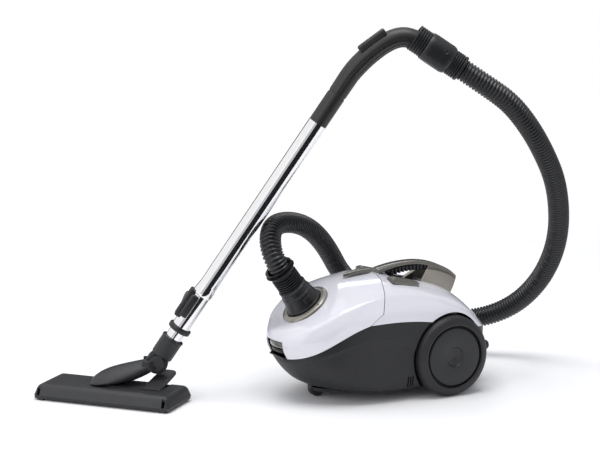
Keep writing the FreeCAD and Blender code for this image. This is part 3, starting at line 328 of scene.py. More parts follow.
def closed_form(name, rows, kinds, sharp):
    """The whole form from its near-side rows: both sides, one material number for each wall."""
    bm = bmesh.new()
    crease = bm.edges.layers.float.new("crease_edge")
    corner = bm.verts.layers.float.new("crease_vert")
    for mirror in (1, -1):
        grid = [[bm.verts.new((x * MM, y * mirror * MM, z * MM)) for x, y, z in row] for row in rows]
        for c in (LID_END, LID_END + 1):
            grid[WHITE_FOOT + 1][c][corner] = .85
        for r in range(len(rows) - 1):
            for c in range(len(rows[0]) - 1):
                corners = [grid[r][c], grid[r][c + 1], grid[r + 1][c + 1], grid[r + 1][c]]
                face = bm.faces.new(corners if mirror > 0 else corners[::-1])
                face.material_index = kinds(r, c)
        for r, weight in sharp.items():
            for c in range(len(rows[0]) - 1):
                if weight == 1 or 1 < c < len(rows[0]) - 5:
                    bm.edges.get((grid[r][c], grid[r][c + 1]))[crease] = weight
        for c in (LID_END, LID_END + 1):
            for r in range(WHITE_FOOT, len(rows) - 1):
                bm.edges.get((grid[r][c], grid[r + 1][c]))[crease] = 1
    bmesh.ops.remove_doubles(bm, verts=bm.verts, dist=1e-6)
    bmesh.ops.recalc_face_normals(bm, faces=bm.faces)
    return new_piece(name, bm)


def wall_kind(r, c):
    if r < BASE_TOP:
        return BASE
    if r == BASE_TOP or c == LID_END:
        return GAP
    return LID if c < LID_END else REAR


def take_wall(form, number, name, thickness):
    """Copy one wall out of the whole form and give it its thickness."""
    bm = bmesh.new()
    bm.from_mesh(form.data)
    bmesh.ops.delete(bm, geom=[face for face in bm.faces if face.material_index != number], context="FACES")
    for face in bm.faces:
        face.material_index = 0
    piece = new_piece(name, bm)
    piece.data.materials.append(None)
    piece.data.materials.append(None)
    # The solidified wall puts its second material, the painted gap shade, on its inner faces and rims.
    modify(piece, "SOLIDIFY", thickness=thickness, offset=-1, material_offset=1, material_offset_rim=1)
    piece.data.transform(CANISTER)
    return piece


def cut_with(piece, *cutters):
    """Take the cutters' room out of a piece, and remove them."""
    for cutter in cutters:
        modify(piece, "BOOLEAN", operation="DIFFERENCE", object=cutter, solver="EXACT")
        bpy.data.objects.remove(cutter)
    return piece


def rounded_block(name, low, high, place, rounding=2, segments=4):
    """A block between two corners (mm) with rounded edges."""
    centre = [(a + b) / 2 * MM for a, b in zip(low, high)]
    half = [(b - a) * MM for a, b in zip(low, high)]
    bpy.ops.object.select_all(action="DESELECT")
    bpy.ops.mesh.primitive_cube_add(size=1, location=(0, 0, 0))
    piece = bpy.context.object
    piece.name = name
    piece.data.transform(Matrix.Translation(centre) @ Matrix.Diagonal((*half, 1)))
    modify(piece, "BEVEL", width=rounding * MM, segments=segments, limit_method="NONE")
    piece.data.transform(place)
    soften(piece, 40)
    return piece


def round_cutter(radius, low, high, place, sides=96):
    """A plain cylinder used to take out a round hole."""
    bpy.ops.object.select_all(action="DESELECT")
    bpy.ops.mesh.primitive_cylinder_add(vertices=sides, radius=radius * MM, depth=(high - low) * MM)
    piece = bpy.context.object
    piece.data.transform(place @ Matrix.Translation((0, 0, (low + high) / 2 * MM)))
    return piece


def axes(origin, z, y):
    """A frame from its origin, its Z axis and the direction of its Y axis."""
    z = Vector(z).normalized()
    y = Vector(y).normalized()
    x = y.cross(z).normalized()
    y = z.cross(x)
    turned = Matrix((x, y, z)).transposed().to_4x4()
    return Matrix.Translation(Vector(origin)) @ turned


def pedal_seat(sign):
    """The sloping seat of a pedal on the deck: -1 on the near side, 1 on the far side."""
    slope = Matrix.Rotation(math.radians(14), 4, "Y")
    return CANISTER @ Matrix.Translation((-.069, .058 * sign, .2098)) @ slope


INLET = axes(joints["cuff_turn"]["pos_m"], joints["cuff_turn"]["axis"], (0, 1, 0))
form = closed_form("whole_form", SHELL_ROWS, wall_kind, SHARP_ROWS)
for number in range(4):
    form.data.materials.append(None)
modify(form, "SUBSURF", levels=3, render_levels=3)
base = take_wall(form, BASE, "base_wall", 2.6 * MM)
rear = take_wall(form, REAR, "rear_wall", 2.6 * MM)
lid = take_wall(form, LID, "lid_wall", 2.6 * MM)
bpy.data.objects.remove(form)

WELL = 81
for sign in (-1, 1):
    for wall in (base, rear):
        hub = CANISTER @ Matrix.Translation((0, sign * .094, .076)) @ Matrix.Rotation(
            math.radians(-90 * sign), 4, "X")
        cut_with(wall, round_cutter(WELL, 0, 60, hub))
cut_with(rear, rounded_block("finger_room", (-78, -30, 190), (8, 30, 250), CANISTER, 6))
for sign in (-1, 1):
    cut_with(rear, rounded_block("pedal_room", (-29.8, -13.8, -14), (29.8, 13.8, 20), pedal_seat(sign), 3))
cut_with(lid, round_cutter(39.9, -40, 30, INLET))
cut_with(lid, rounded_block("latch_room", (-340, -31, 74), (-292, 31, 117), CANISTER, 3))
cup = CANISTER @ Matrix.Translation((-.196, 0, 0))
cut_with(base, round_cutter(38, 5, 21.5, cup))
for foot_x in (-92, -87, -82):
    cut_with(base, rounded_block("vent", (foot_x, -130, 26), (foot_x + 2.6, 130, 46), CANISTER, .4, 1))

shell_white = finish("shell_white", (.735, .735, .785), .13, spread=.025, tint=.012, mottle=12, coat=.6,
                     grain=.03, grain_scale=160)
base_black = finish("base_black", (.0075, .008, .0095), .48, spread=.05, tint=.12, mottle=40, grain=.22,
                    grain_scale=1500)
# Near-black second material for the inner faces and cut rims of every wall: painted shade, so the gaps
# between the walls and the wall edges read dark.
painted_gap_shade = finish("painted_gap_shade", (.020, .020, .022), .6, spread=.05, tint=.1, mottle=50, grain=.2)
for wall, node, body, slot, material in (
        (base, "lower_chassis", "canister", "base_black", base_black),
        (rear, "rear_shell", "canister", "shell_white", shell_white),
        (lid, "lid", "lid_group", "shell_white", shell_white)):
    soften(wall, 30)
    wall.data.materials[0] = material
    wall.data.materials[1] = painted_gap_shade
    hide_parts(node)
    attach(wall, body)

# ---------------------------------------------------------------- inlet ring, cuff and sleeve
# A lacquered ring round the inlet. The conical cuff turns in it and has two spring buttons; the
# rubber sleeve on the cuff keeps the hose from kinking.
WAND = axes(joints["wand_tilt"]["pos_m"], [-value for value in joints["telescope_slide"]["axis"]],
            joints["wand_tilt"]["axis"])


def turned(name, section, place, soft=0.5, sides=96):
    """Spin a (radius, height) section in mm about the Z axis of a frame."""
    mesh = bpy.data.meshes.new(name)
    count = len(section)
    closed = min(section[0][0], section[-1][0]) > 0
    edges = [(k, (k + 1) % count) for k in range(count if closed else count - 1)]
    mesh.from_pydata([(radius * MM, 0, height * MM) for radius, height in section], edges, [])
    piece = bpy.data.objects.new(name, mesh)
    bpy.context.scene.collection.objects.link(piece)
    only(piece)
    bpy.ops.object.mode_set(mode="EDIT")
    bpy.ops.mesh.select_all(action="SELECT")
    bpy.ops.mesh.spin(steps=sides, angle=2 * math.pi, center=(0, 0, 0), axis=(0, 0, 1))
    bpy.ops.mesh.select_all(action="SELECT")
    bpy.ops.mesh.remove_doubles(threshold=1e-6)
    bpy.ops.mesh.normals_make_consistent(inside=False)
    bpy.ops.object.mode_set(mode="OBJECT")
    if soft:
        modify(piece, "BEVEL", width=soft * MM, segments=2, limit_method="ANGLE",
               angle_limit=math.radians(28))
    piece.data.transform(place)
    soften(piece, 32)
    return piece


def ribs(start, end, pitch, high, low, share=0.5):
    """Corners of a ribbed outline from one height to another."""
    corners = []
    for k in range(round((end - start) / pitch)):
        foot = start + k * pitch
        corners += [(low, foot), (high, foot + 0.12 * pitch), (high, foot + share * pitch),
                    (low, foot + (share + 0.12) * pitch)]
    return corners


def join(piece, *others):
    """Join finished parts into one piece."""
    only(piece)
    for other in others:
        other.select_set(True)
    bpy.ops.object.join()
    return piece


def dress(piece, material, body, slot, *nodes):
    """Give a piece its material, its body and the nodes that it stands for; the slot argument is not used."""
    piece.data.materials.clear()
    piece.data.materials.append(material)
    if nodes:
        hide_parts(*nodes)
    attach(piece, body)
    return piece


ring_lacquer = finish("ring_lacquer", (.30, .285, .25), .30, spread=.04, tint=.05, mottle=22, metallic=.6,
                      coat=.3, grain=.05, grain_scale=1200)
ring = turned("inlet_collar", [
    (23.95, -38), (26.4, -38), (26.4, -6), (39.6, -6), (39.6, -.4), (47.9, -.4), (48, 1.2), (46.6, 4.2),
    (43, 6.6), (39, 7.4), (36.6, 6.4), (35.9, 4.2), (23.95, 4.2)], INLET, .6)
mark = rounded_block("ring_mark", (5, -44.6, 5.0), (10, -40.2, 6.9), INLET, .6, 2)
dress(join(ring, mark), ring_lacquer, "lid_group", "taupe", "inlet_ring")

soft_black = finish("soft_black", (.012, .0125, .014), .42, spread=.05, grain=.12, grain_scale=1300)
cuff = turned("turning_cuff", [
    (19.2, -34), (23.8, -34), (23.8, 4.7), (35, 4.7), (35, 9), (34.2, 10.2), (33.6, 10.4), (29.6, 28),
    (28.9, 31), (29.6, 32), (29.6, 34.6), (28.4, 35.6), (27.6, 39), (26.9, 44.8), (19.2, 44.8)], INLET, .6)
cut_with(cuff, rounded_block("button_room", (-8.4, -60, 13.6), (8.4, 60, 28.4), INLET, 1.2))
soften(cuff, 32)
dress(cuff, soft_black, "cuff", "base_black", "hose_cuff")
for sign, side in ((-1, "left"), (1, "right")):
    plate = rounded_block(f"release_{side}", (-7.9, min(25 * sign, 32.3 * sign), 14.1),
                          (7.9, max(25 * sign, 32.3 * sign), 27.9), INLET, 1)
    bars = [rounded_block("bar", (-5.5, min(31 * sign, 33.6 * sign), 15.6 + 2.6 * k),
                          (6.6, max(31 * sign, 33.6 * sign), 17 + 2.6 * k), INLET, .5, 2) for k in range(5)]
    dress(join(plate, *bars), soft_black, f"{side}_release", "base_black", f"release_button_{side}")

sleeve = turned("kink_sleeve", [
    (20.5, 45.1), (27, 45.1), (27.4, 48.5), (26, 50)] + ribs(50.5, 79, 4.7, 25.2, 21.6, .36) + [
    (22.8, 80), (24.6, 84), (29.2, 88), (29.4, 88.6), (25.2, 88), (23, 88.4), (23.8, 90.5), (27.4, 95),
    (27.4, 95.8), (23.4, 94.6), (20.7, 88)], INLET, 0, 72)
dress(sleeve, soft_black, "cuff", "rubber", "hose_sleeve")

# ---------------------------------------------------------------- latch, ridge strip, carry handle
# Lacquered trim: the latch in its recess on the nose, the strip on the lid's ridge and the bridge
# over the finger room, with a black ribbed grip under it and a wide foot behind.
trim_lacquer = finish("trim_lacquer", (.150, .145, .127), .24, spread=.05, tint=.10, mottle=20, metallic=.45,
                      coat=.5, grain=.04, grain_scale=900)
# A lighter copy of the trim lacquer for the foot's sides: painted light where the lamps fall on the sides of
# one and the same moulding.
painted_lit_side_lacquer = finish("painted_lit_side_lacquer", (.37, .345, .30), .34, spread=.05, tint=.08, mottle=16, metallic=.6,
                      coat=.2, grain=.05, grain_scale=900)


def loft(name, rings, place, levels=2, crease_ends=0.9):
    """A smooth solid through closed rings of points (mm)."""
    bm = bmesh.new()
    crease = bm.edges.layers.float.new("crease_edge")
    loops = [[bm.verts.new([value * MM for value in point]) for point in ring] for ring in rings]
    count = len(loops[0])
    for first, second in zip(loops, loops[1:]):
        for j in range(count):
            bm.faces.new((first[j], first[(j + 1) % count], second[(j + 1) % count], second[j]))
    for loop in (loops[0], loops[-1]):
        bm.faces.new(loop)
        for j in range(count):
            bm.edges.get((loop[j], loop[(j + 1) % count]))[crease] = crease_ends
    bmesh.ops.recalc_face_normals(bm, faces=bm.faces)
    piece = new_piece(name, bm)
    modify(piece, "SUBSURF", levels=levels, render_levels=levels)
    piece.data.transform(place)
    soften(piece, 40)
    return piece


def bar_ring(x, low, high, half, crown=0.8, shoulder=0.82):
    """A rounded rectangular section across the X axis."""
    rise = high - low
    side = [(half * .9, low), (half, low + .12 * rise), (half, low + .62 * rise), (half * shoulder, high)]
    return ([(x, -y, z) for y, z in side] + [(x, 0, high + crown)]
            + [(x, y, z) for y, z in reversed(side)] + [(x, 0, low)])


def nose_band(name, low, high, front, half):
    """A bar that follows the round nose, from one height to another."""
    rings = []
    for y in (-half, -half * .72, -half * .36, 0, half * .36, half * .72, half):
        back = -front + 9.5 * (y / 30) ** 2
        rings.append([(back, y, low), (back, y, high), (back + 6, y, high), (-294, y, high),
                      (-294, y, low)])
    return loft(name, rings, CANISTER, 2, 1)


latch = nose_band("latch_plate", 101.5, 115.5, 311.5, 29.6)
dress(latch, trim_lacquer, "latch", "taupe_plastic")
catch = nose_band("latch_catch", 92.2, 101, 307, 29.6)
dress(catch, soft_black, "latch", "base_black", "latch_button")

strip = loft("ridge_strip_trim", [
    bar_ring(-163, 219, 224.6, 2.4), bar_ring(-156, 221, 227.4, 5.6), bar_ring(-142, 223, 230, 8),
    bar_ring(-124, 224, 231.2, 8.6), bar_ring(-108, 224, 231, 8)], CANISTER)
dress(strip, trim_lacquer, "lid_group", "taupe_plastic", "ridge_strip")

bridge = loft("handle_bridge", [
    bar_ring(-95, 221, 229.4, 13.5), bar_ring(-84, 222.5, 232.2, 13.8), bar_ring(-64, 228, 236, 13.6),
    bar_ring(-44, 231, 238, 13.4), bar_ring(-20, 231.6, 239, 13.2), bar_ring(4, 229, 237, 13.4),
    bar_ring(26, 222, 231.8, 13.8), bar_ring(44, 213, 224, 14.4), bar_ring(52, 208, 220, 14.6)], CANISTER)
dress(bridge, trim_lacquer, "canister", "taupe_plastic", "carry_handle")
spine = loft("grip_core", [
    bar_ring(-72, 219.5, 226, 9), bar_ring(-58, 221.5, 229, 10), bar_ring(-22, 224.5, 232, 10),
    bar_ring(6, 222, 229.8, 10), bar_ring(22, 217, 224, 9)], CANISTER)
fins = []
for k in range(11):
    reach = -66 + 8 * k
    sag = 0.0028 * (reach + 22) ** 2
    fins.append(rounded_block("fin", (reach, -12.4, 219.8 - sag), (reach + 4.4, 12.4, 230.8 - sag),
                              CANISTER, .8, 2))
dress(join(spine, *fins), soft_black, "canister", "base_black", "handle_insert")

# The foot is one curved shell that hugs the top of the body on both sides. Its lower rows carry a lighter
# copy of the trim lacquer, painted light on the sides; its top rows keep the trim lacquer.
FOOT_ROWS = [
    [(-30, -43.5, 181), (-12, -44, 178), (10, -44, 172), (30, -43.5, 167), (43, -42.5, 163)],
    [(-29, -42, 190), (-11, -42.5, 187.5), (11, -42.5, 182), (31, -41.8, 177), (45, -40.5, 172)],
    [(-10, -30, 205), (6, -31, 203), (27, -31.5, 198), (48, -31, 191), (61, -29, 183)],
    [(10, -16, 222), (24, -17.5, 220), (42, -18.5, 214.5), (63, -18.5, 206), (75, -17, 197)],
    [(17, -11.5, 229), (30, -13, 227), (47, -14, 221.5), (67, -13.6, 212), (79, -12, 201)],
    [(18, 0, 231.5), (31, 0, 229.6), (48, 0, 224), (68, 0, 214), (81, 0, 202)],
]
bm = bmesh.new()
for mirror in (1, -1):
    grid = [[bm.verts.new((x * MM, y * mirror * MM, z * MM)) for x, y, z in row] for row in FOOT_ROWS]
    for r in range(5):
        for c in range(4):
            face = bm.faces.new((grid[r][c], grid[r][c + 1], grid[r + 1][c + 1], grid[r + 1][c]))
            face.material_index = 1 if r > 2 else 0
bmesh.ops.remove_doubles(bm, verts=bm.verts, dist=1e-6)
bmesh.ops.recalc_face_normals(bm, faces=bm.faces)
if sum(face.normal.z for face in bm.faces) < 0:
    bmesh.ops.reverse_faces(bm, faces=bm.faces)
foot = new_piece("handle_foot_shell", bm)
for material in (painted_lit_side_lacquer, trim_lacquer):
    foot.data.materials.append(material)
modify(foot, "SUBSURF", levels=3, render_levels=3)
modify(foot, "SOLIDIFY", thickness=6 * MM, offset=-1)
modify(foot, "BEVEL", width=2.2 * MM, segments=4, limit_method="ANGLE", angle_limit=math.radians(50))
foot.data.transform(CANISTER)
soften(foot, 40)
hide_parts("handle_foot")
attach(foot, "canister")

# ---------------------------------------------------------------- pedals
# Two rocker keys on the deck, power and cord rewind, each a raised pad inside a low lip.
for name, sign in (("power", -1), ("rewind", 1)):
    seat = pedal_seat(sign)
    pad = rounded_block(f"{name}_pad", (-29, -13, -6), (29, 13, 6.2), seat, 3.2, 5)
    top = rounded_block("pad_top", (-25.5, -9.6, 4), (25.5, 9.6, 8), seat, 1.8, 4)
    dress(join(pad, top), trim_lacquer, f"{name}_key", "taupe_plastic", f"{name}_pedal")

# ---------------------------------------------------------------- wheels
# A hard rubber tyre with a shoulder ridge on a moulded disc. The disc has a flat face with a
# shallow dimple in the middle and a thin shadow groove where it meets the tyre.
tyre_rubber = finish("tyre_rubber", (.010, .010, .011), .50, spread=.06, tint=.12, mottle=45, grain=.3,
                     grain_scale=1100)
disc_black = finish("disc_black", (.011, .0115, .013), .42, spread=.05, tint=.10, mottle=35, grain=.2,
                    grain_scale=1600)
for name, sign in (("left", -1), ("right", 1)):
    hub = CANISTER @ Matrix.Translation((0, 0, .076)) @ Matrix.Rotation(math.radians(-90 * sign), 4, "X")
    tyre = turned(f"tyre_{name}_tread", [
        (57.6, 101.2), (72, 101.2), (75.2, 103.6), (76, 107), (76, 118), (75.4, 123), (73.6, 127.2),
        (70.6, 130.6), (67.6, 132.4), (66.4, 132.2), (64.6, 133.8), (61.6, 134.6), (59.4, 134), (58.2, 132),
        (57.6, 128)],
        hub, .7, 128)
    dress(tyre, tyre_rubber, f"{name}_wheel", "tyre", f"tyre_{name}")
    disc = turned(f"disc_{name}", [
        (0, 128.65), (14, 128.3), (14, 102.4), (18, 102.4), (18, 127.4), (51, 127.4), (54, 124), (54, 102),
        (57.4, 102), (57.4, 127.6), (55.2, 128), (54.6, 131.4), (52.6, 133), (20, 133.6), (18.6, 133.1),
        (16.8, 130.4), (13, 129.7), (3.2, 129.3), (2.6, 128.95), (0, 128.95)], hub, .3, 128)
    dress(disc, disc_black, f"{name}_wheel", "base_black", f"wheel_{name}")

# ---------------------------------------------------------------- wand
# Two chromed steel tubes with a sliding lock, and a moulded neck that hinges in the elbow.
chrome = finish("chrome", (.86, .86, .87), .055, spread=.02, tint=.01, mottle=20, metallic=1.0,
                scratches=.03, stretch=(1, 1, .2))
for node in ("outer_tube", "inner_tube"):
    piece = frame["nodes"][node]
    piece.data.materials.clear()
    piece.data.materials.append(chrome)
flare = turned("tube_flare", [
    (17.55, 150), (18.6, 151), (19.3, 156), (19.0, 163), (17.75, 172), (17.55, 173)], WAND, .2)
dress(flare, chrome, "canister", "chrome")
collar = turned("tube_end_ring", [
    (15.85, 70.5), (19, 70.5), (21.2, 71.4), (21.9, 73), (21.9, 79), (21.2, 80.6), (17.6, 80.9), (16.7, 81),
    (16.7, 104), (15.85, 104)], WAND, .4)
dress(collar, soft_black, "canister", "base_black", "tube_collar")
neck = turned("wand_neck_cup", [
    (13, 14), (20, 14), (20.6, 17), (20.6, 50), (21.4, 51), (21.4, 53.6), (20.6, 54.4), (16, 54.4),
    (16, 24), (13, 24)], WAND, .4)
knuckle = turned("knuckle", [(0, -14), (19.6, -14), (20.3, -13.2), (20.3, 13.2), (19.6, 14), (0, 14)],
                 WAND @ Matrix.Rotation(math.radians(90), 4, "X"), .3)
cut_with(knuckle, round_cutter(11, -2, 60, WAND))
soften(knuckle, 32)
dress(join(neck, knuckle), soft_black, "telescope", "base_black", "wand_neck")
saddle = rounded_block("lock_saddle_body", (-24.5, -12.5, 94), (4, 12.5, 153), WAND, 3)
wings = rounded_block("lock_wings", (-17, -21, 100), (-2, 21, 147), WAND, 4)
modify(saddle, "BOOLEAN", operation="UNION", object=wings, solver="EXACT")
bpy.data.objects.remove(wings)
cut_with(saddle, rounded_block("track", (-40, -8.4, 103), (-16, 8.4, 147), WAND, 1),
         round_cutter(17.56, 60, 180, WAND))
soften(saddle, 32)
dress(saddle, soft_black, "canister", "base_black", "lock_saddle")
slider_grey = finish("slider_grey", (.085, .087, .092), .42, spread=.05, tint=.1, mottle=60, grain=.25,
                     grain_scale=1500)
slider = loft("lock_slider_key", [
    [(-18, -8, z), (-18, 8, z), (-front, 8, z), (-front - .6, 0, z), (-front, -8, z)]
    for z, front in ((104, 20.5), (107, 22.4), (120, 25), (132, 27.4), (139, 28.2), (142, 26.5))],
    WAND, 2, 1)
dress(slider, slider_grey, "tube_lock", "grey_plastic", "lock_slider")

# ---------------------------------------------------------------- grip and hose swivel
# A bent glass-filled nylon tube in two halves, with a slotted air slider on its back and a swivel
# that lets the hose turn. Its inner side carries fine ribs for the fingers.
GRIP_POINTS = [(0, 505), (0, 550), (0, 594), (0, 663.5), (29.3, 745.4), (76.9, 757), (99, 757)]
grip_bend = smooth_line([(x, 0, z) for x, z in GRIP_POINTS], 32)
grip_line = even_steps([WAND @ Vector((point.x * MM, 0, point.z * MM)) for point in grip_bend], 2 * MM)
GRIP_COUNT = len(grip_line)


def grip_radius(k, angle):
    """Radius of the grip: a spigot, a groove at the joint, a fuller hand part with finger ribs."""
    reach = 505 + 2.0 * k
    radius = 16.6 if reach < 532 else 17.2
    if abs(reach - 594) < 1.5:
        radius -= 1.0
    if reach > 600:
        swell = min(1, (reach - 600) / 60) * min(1, (GRIP_COUNT - k) / 14)
        inner = max(0, math.cos(angle))
        radius += swell * (1.1 - .5 * inner)
        if inner > .15 and 640 < reach:
            radius += .8 * swell * max(0, math.cos(angle * 16)) ** 2 - .4
        if abs(math.cos(angle)) < .06:
            radius -= .5
    return radius * MM


grip_nylon = finish("grip_nylon", (.015, .0148, .015), .42, spread=.05, tint=.12, mottle=60, grain=.25,
                    grain_scale=1400)
grip = tube_along("grip_body", grip_line, grip_radius, 96, Vector(WAND.col[0][:3]))
soften(grip, 40)
dress(grip, grip_nylon, "canister", "base_black", "grip_tube", "grip_upper", "grip_lower")

AIR_TILT = math.radians(19.7)
AIR = WAND @ Matrix.Translation((.0146, 0, .7045)) @ Matrix.Rotation(AIR_TILT, 4, "Y")
air = rounded_block("air_slider_plate", (-23.4, -14.5, -29), (-7, 14.5, 29), AIR, 3.4, 5)
for k in range(4):
    air = join(air, rounded_block("air_rib", (-24.1, -7, -20 + 4 * k), (-22, 7, -18 + 4 * k), AIR, .6, 2))
cut_with(air, round_cutter(18.9, -60, 60, AIR))
soften(air, 32)
dress(air, grip_nylon, "valve", "base_black", "air_slider")

SWIVEL = WAND @ Matrix.Translation((0, 0, .757)) @ Matrix.Rotation(math.radians(90), 4, "Y")
swivel = turned("hose_swivel_body", [(19.9, 58)] + ribs(58, 82.5, 4.9, 25, 22, .76) + [
    (22, 82.6), (25.6, 83), (26.6, 84.6), (27.2, 92), (27.2, 128), (26, 133), (23.4, 137)]
    + ribs(138, 155, 4.25, 24, 21.4, .72) + [
        (21, 155.5), (24.2, 156.5), (24.4, 160), (23.4, 161), (20.2, 161), (20.2, 150), (18.9, 149),
        (18.9, 90), (19.9, 84)], SWIVEL, .25)
dot = turned("swivel_mark", [(0, 26), (5, 26), (5, 27.7), (4.1, 27.9), (3.4, 27.2), (0, 27.2)],
             SWIVEL @ Matrix.Translation((0, 0, .118)) @ Matrix.Rotation(math.radians(-22), 4, "Z")
             @ Matrix.Rotation(math.radians(90), 4, "X"), .15, 32)
dress(join(swivel, dot), soft_black, "hose_end", "base_black", "hose_swivel")

# ---------------------------------------------------------------- floor head
# A wide low cover on a sole plate. The fan-shaped elbow turns in the cover and carries the neck;
# a rocker pedal beside it lifts the bristles.
turret = Vector(joints["head_swivel"]["pos_m"])
reach_out = Vector(joints["wand_tilt"]["pos_m"]) - turret
reach_out.z = 0
TURRET = axes((turret.x, turret.y, 0), (0, 0, 1), Vector((0, 0, 1)).cross(reach_out))
along = Vector(joints["left_roller_spin"]["axis"])
along.z = 0
back = Vector((0, 0, 1)).cross(along).normalized()
HEAD = axes(Vector((turret.x, turret.y, 0)) - back * .015, (0, 0, 1), back)

head_black = finish("head_black", (.019, .0195, .0215), .48, spread=.05, tint=.12, mottle=45, grain=.25,
                    grain_scale=1300)
bm = bmesh.new()
block_size = Matrix.Translation((0, 0, .019)) @ Matrix.Diagonal((276, 107, 20, 1))
bmesh.ops.create_cube(bm, size=MM, matrix=block_size)
weight = bm.edges.layers.float.new("bevel_weight_edge")
for edge in bm.edges:
    edge[weight] = 1 if max(vertex.co.z for vertex in edge.verts) > .02 else 0
for vertex in bm.verts:
    if vertex.co.z > .02:
        vertex.co.x *= .955
        vertex.co.y = vertex.co.y * .88 + .0015
cover = new_piece("head_cover_body", bm)
modify(cover, "BEVEL", width=9 * MM, segments=8, limit_method="WEIGHT")
cover.data.transform(HEAD)
room = rounded_block("cover_room", (-129, -49, 0), (129, 44, 20), HEAD, 2)
cut_with(cover, room,
         round_cutter(30.4, 15, 40, TURRET), round_cutter(34.4, 0, 20, TURRET),
         rounded_block("pedal_room", (64.2, -14, 19), (100.8, 47, 40), HEAD, .5, 1),
         rounded_block("end_slot", (123.5, -60, 3), (129.5, -45, 25), HEAD, .4, 1),
         rounded_block("end_slot", (-129.5, -60, 3), (-123.5, -45, 25), HEAD, .4, 1))
soften(cover, 32)
dress(cover, head_black, "head", "base_black", "head_cover")

elbow = loft("elbow_fan", [
    [(x, -half * .8, low), (x, -half, edge), (x, -half * .93, edge + .25 * (high - edge)),
     (x, -half * .5, edge + .85 * (high - edge)), (x, half * .5, edge + .85 * (high - edge)),
     (x, half * .93, edge + .25 * (high - edge)), (x, half, edge), (x, half * .8, low)]
    for x, low, edge, high, half in (
        (-47, 29.6, 30.4, 32, 13), (-44, 29.6, 30.8, 38, 25), (-35, 29.6, 31.5, 48.5, 33),
        (-18, 29.6, 33.5, 60, 37.5), (4, 30, 38, 67.5, 37), (28, 33, 46, 72.5, 32.5), (48, 40, 55, 76, 26.5),
        (60, 46, 60, 77, 22.5), (65, 49, 61, 77, 21))], TURRET, 2, .6)
PIVOT = TURRET @ Matrix.Translation((.077, 0, .069)) @ Matrix.Rotation(math.radians(-90), 4, "X")
arms = []
for low in (-20.8, 14.5):
    arm = turned("cheek", [(0, low), (13.6, low), (14.2, low + .6), (14.2, low + 5.7), (13.6, low + 6.3),
                           (0, low + 6.3)], PIVOT, .2, 64)
    bridge_arm = rounded_block("cheek_arm", (50, low, 55), (77, low + 6.3, 75), TURRET, 1.2, 3)
    arms += [arm, bridge_arm]
plug = turned("turret_plug", [
    (20, 15.5), (34, 15.5), (34, 19.4), (30, 19.6), (30, 30.4), (20, 30.4)], TURRET, .3)
cut_with(elbow, round_cutter(21.1, -14.4, 14.4, PIVOT))
join(elbow, plug, *arms)
soften(elbow, 32)
dress(elbow, head_black, "elbow_group", "base_black", "elbow")

pedal = loft("rocker_pedal", [
    [(x * .96, y, low), (x, y, (low + high) / 2), (x * .98, y, high), (82.5, y, high + .4),
     (165 - x * .98, y, high), (165 - x, y, (low + high) / 2), (165 - x * .96, y, low), (82.5, y, low)]
    for x, y, low, high in (
        (65, -11.6, 25.4, 30.5), (65, -9, 25.6, 31.4), (65, 12, 29.6, 35.6), (65, 40, 36, 41.2),
        (65.4, 62, 40.4, 45.4), (68.5, 71, 42.4, 46.8), (74, 75, 43.6, 46.6))], HEAD, 2, 1)
for low in (4, 52):
    for k in range(3):
        pedal = join(pedal, rounded_block(
            "pedal_bar", (73 + 7 * k, low, 30), (76 + 7 * k, low + 6, 33 + .185 * (low + 6)), HEAD, .5, 2))
dress(pedal, head_black, "head_rocker", "base_black", "head_pedal")

nylon_tufts = finish("nylon_tufts", (.010, .010, .011), .7, spread=.05, tint=.5, mottle=500, grain=.9,
                     grain_scale=1800, stretch=(1, 1, .15))
tufts = []
for low in (-43.4, 8.6):
    strip_block = rounded_block("tuft_row", (-125.2, low, 2.4), (125.2, low + 6.8, 8.8), HEAD, .6, 2)
    tufts.append(strip_block)
    for k in range(42):
        tufts.append(rounded_block("tuft", (-124 + 5.95 * k, low + .8, .7), (-120.2 + 5.95 * k, low + 6, 3.2),
                                   HEAD, .5, 1))
dress(join(*tufts), nylon_tufts, "brushes", "bristle", "brush_strips")

# ---------------------------------------------------------------- other pieces
# Small and hidden pieces keep the shape they are machined or moulded to, each with its own finish.
steel = finish("plain_steel", (.55, .55, .56), .32, spread=.06, tint=.05, mottle=60, metallic=1.0,
               scratches=.1)
dull_grey = finish("dull_grey", (.16, .16, .165), .5, spread=.06, tint=.06, mottle=50, grain=.2)
paper = finish("filter_paper", (.62, .57, .47), .85, spread=.05, tint=.06, mottle=90, grain=.7,
               grain_scale=900)
foam = finish("filter_foam", (.09, .09, .10), .95, spread=.03, tint=.3, mottle=300, grain=1.0,
              grain_scale=500)
pressed_card = finish("pressed_card", (.42, .31, .19), .9, spread=.04, tint=.12, mottle=120, grain=.6,
                      grain_scale=700)
board = finish("circuit_board", (.02, .12, .05), .4, spread=.05, tint=.08, mottle=80, grain=.1)
bag = loft("paper_bag", [
    [(-196 + share * x, y, 96 + share * z) for x, z in (
        (-66, -34), (-52, 2), (-4, 42), (60, 42), (64, -4), (60, -42), (6, -45), (-54, -42))]
    for y, share in ((-80, .4), (-76, .8), (-56, .95), (0, 1), (56, .95), (76, .8), (80, .4))],
    CANISTER, 2, 0)
dress(bag, paper, "canister", "paper", "dust_bag")
kept = {
    soft_black: ("caster_fork", "head_sole", "exhaust_grille", "cord_outlet"),
    tyre_rubber: ("caster_wheel", "head_roller_left", "head_roller_right", "lid_seal", "motor_seal"),
    steel: ("rear_axles", "caster_pin", "reel_spindle", "motor_fan", "roller_pins"),
    head_black: ("neck_pins",),
    dull_grey: ("bag_holder", "motor_housing", "cord_reel"),
    foam: ("motor_filter", "exhaust_filter"),
    pressed_card: ("bag_collar",),
    board: ("switch_board",),
}
for material, names in kept.items():
    for name in names:
        node = frame["nodes"][name]
        node.data.materials.clear()
        node.data.materials.append(material)

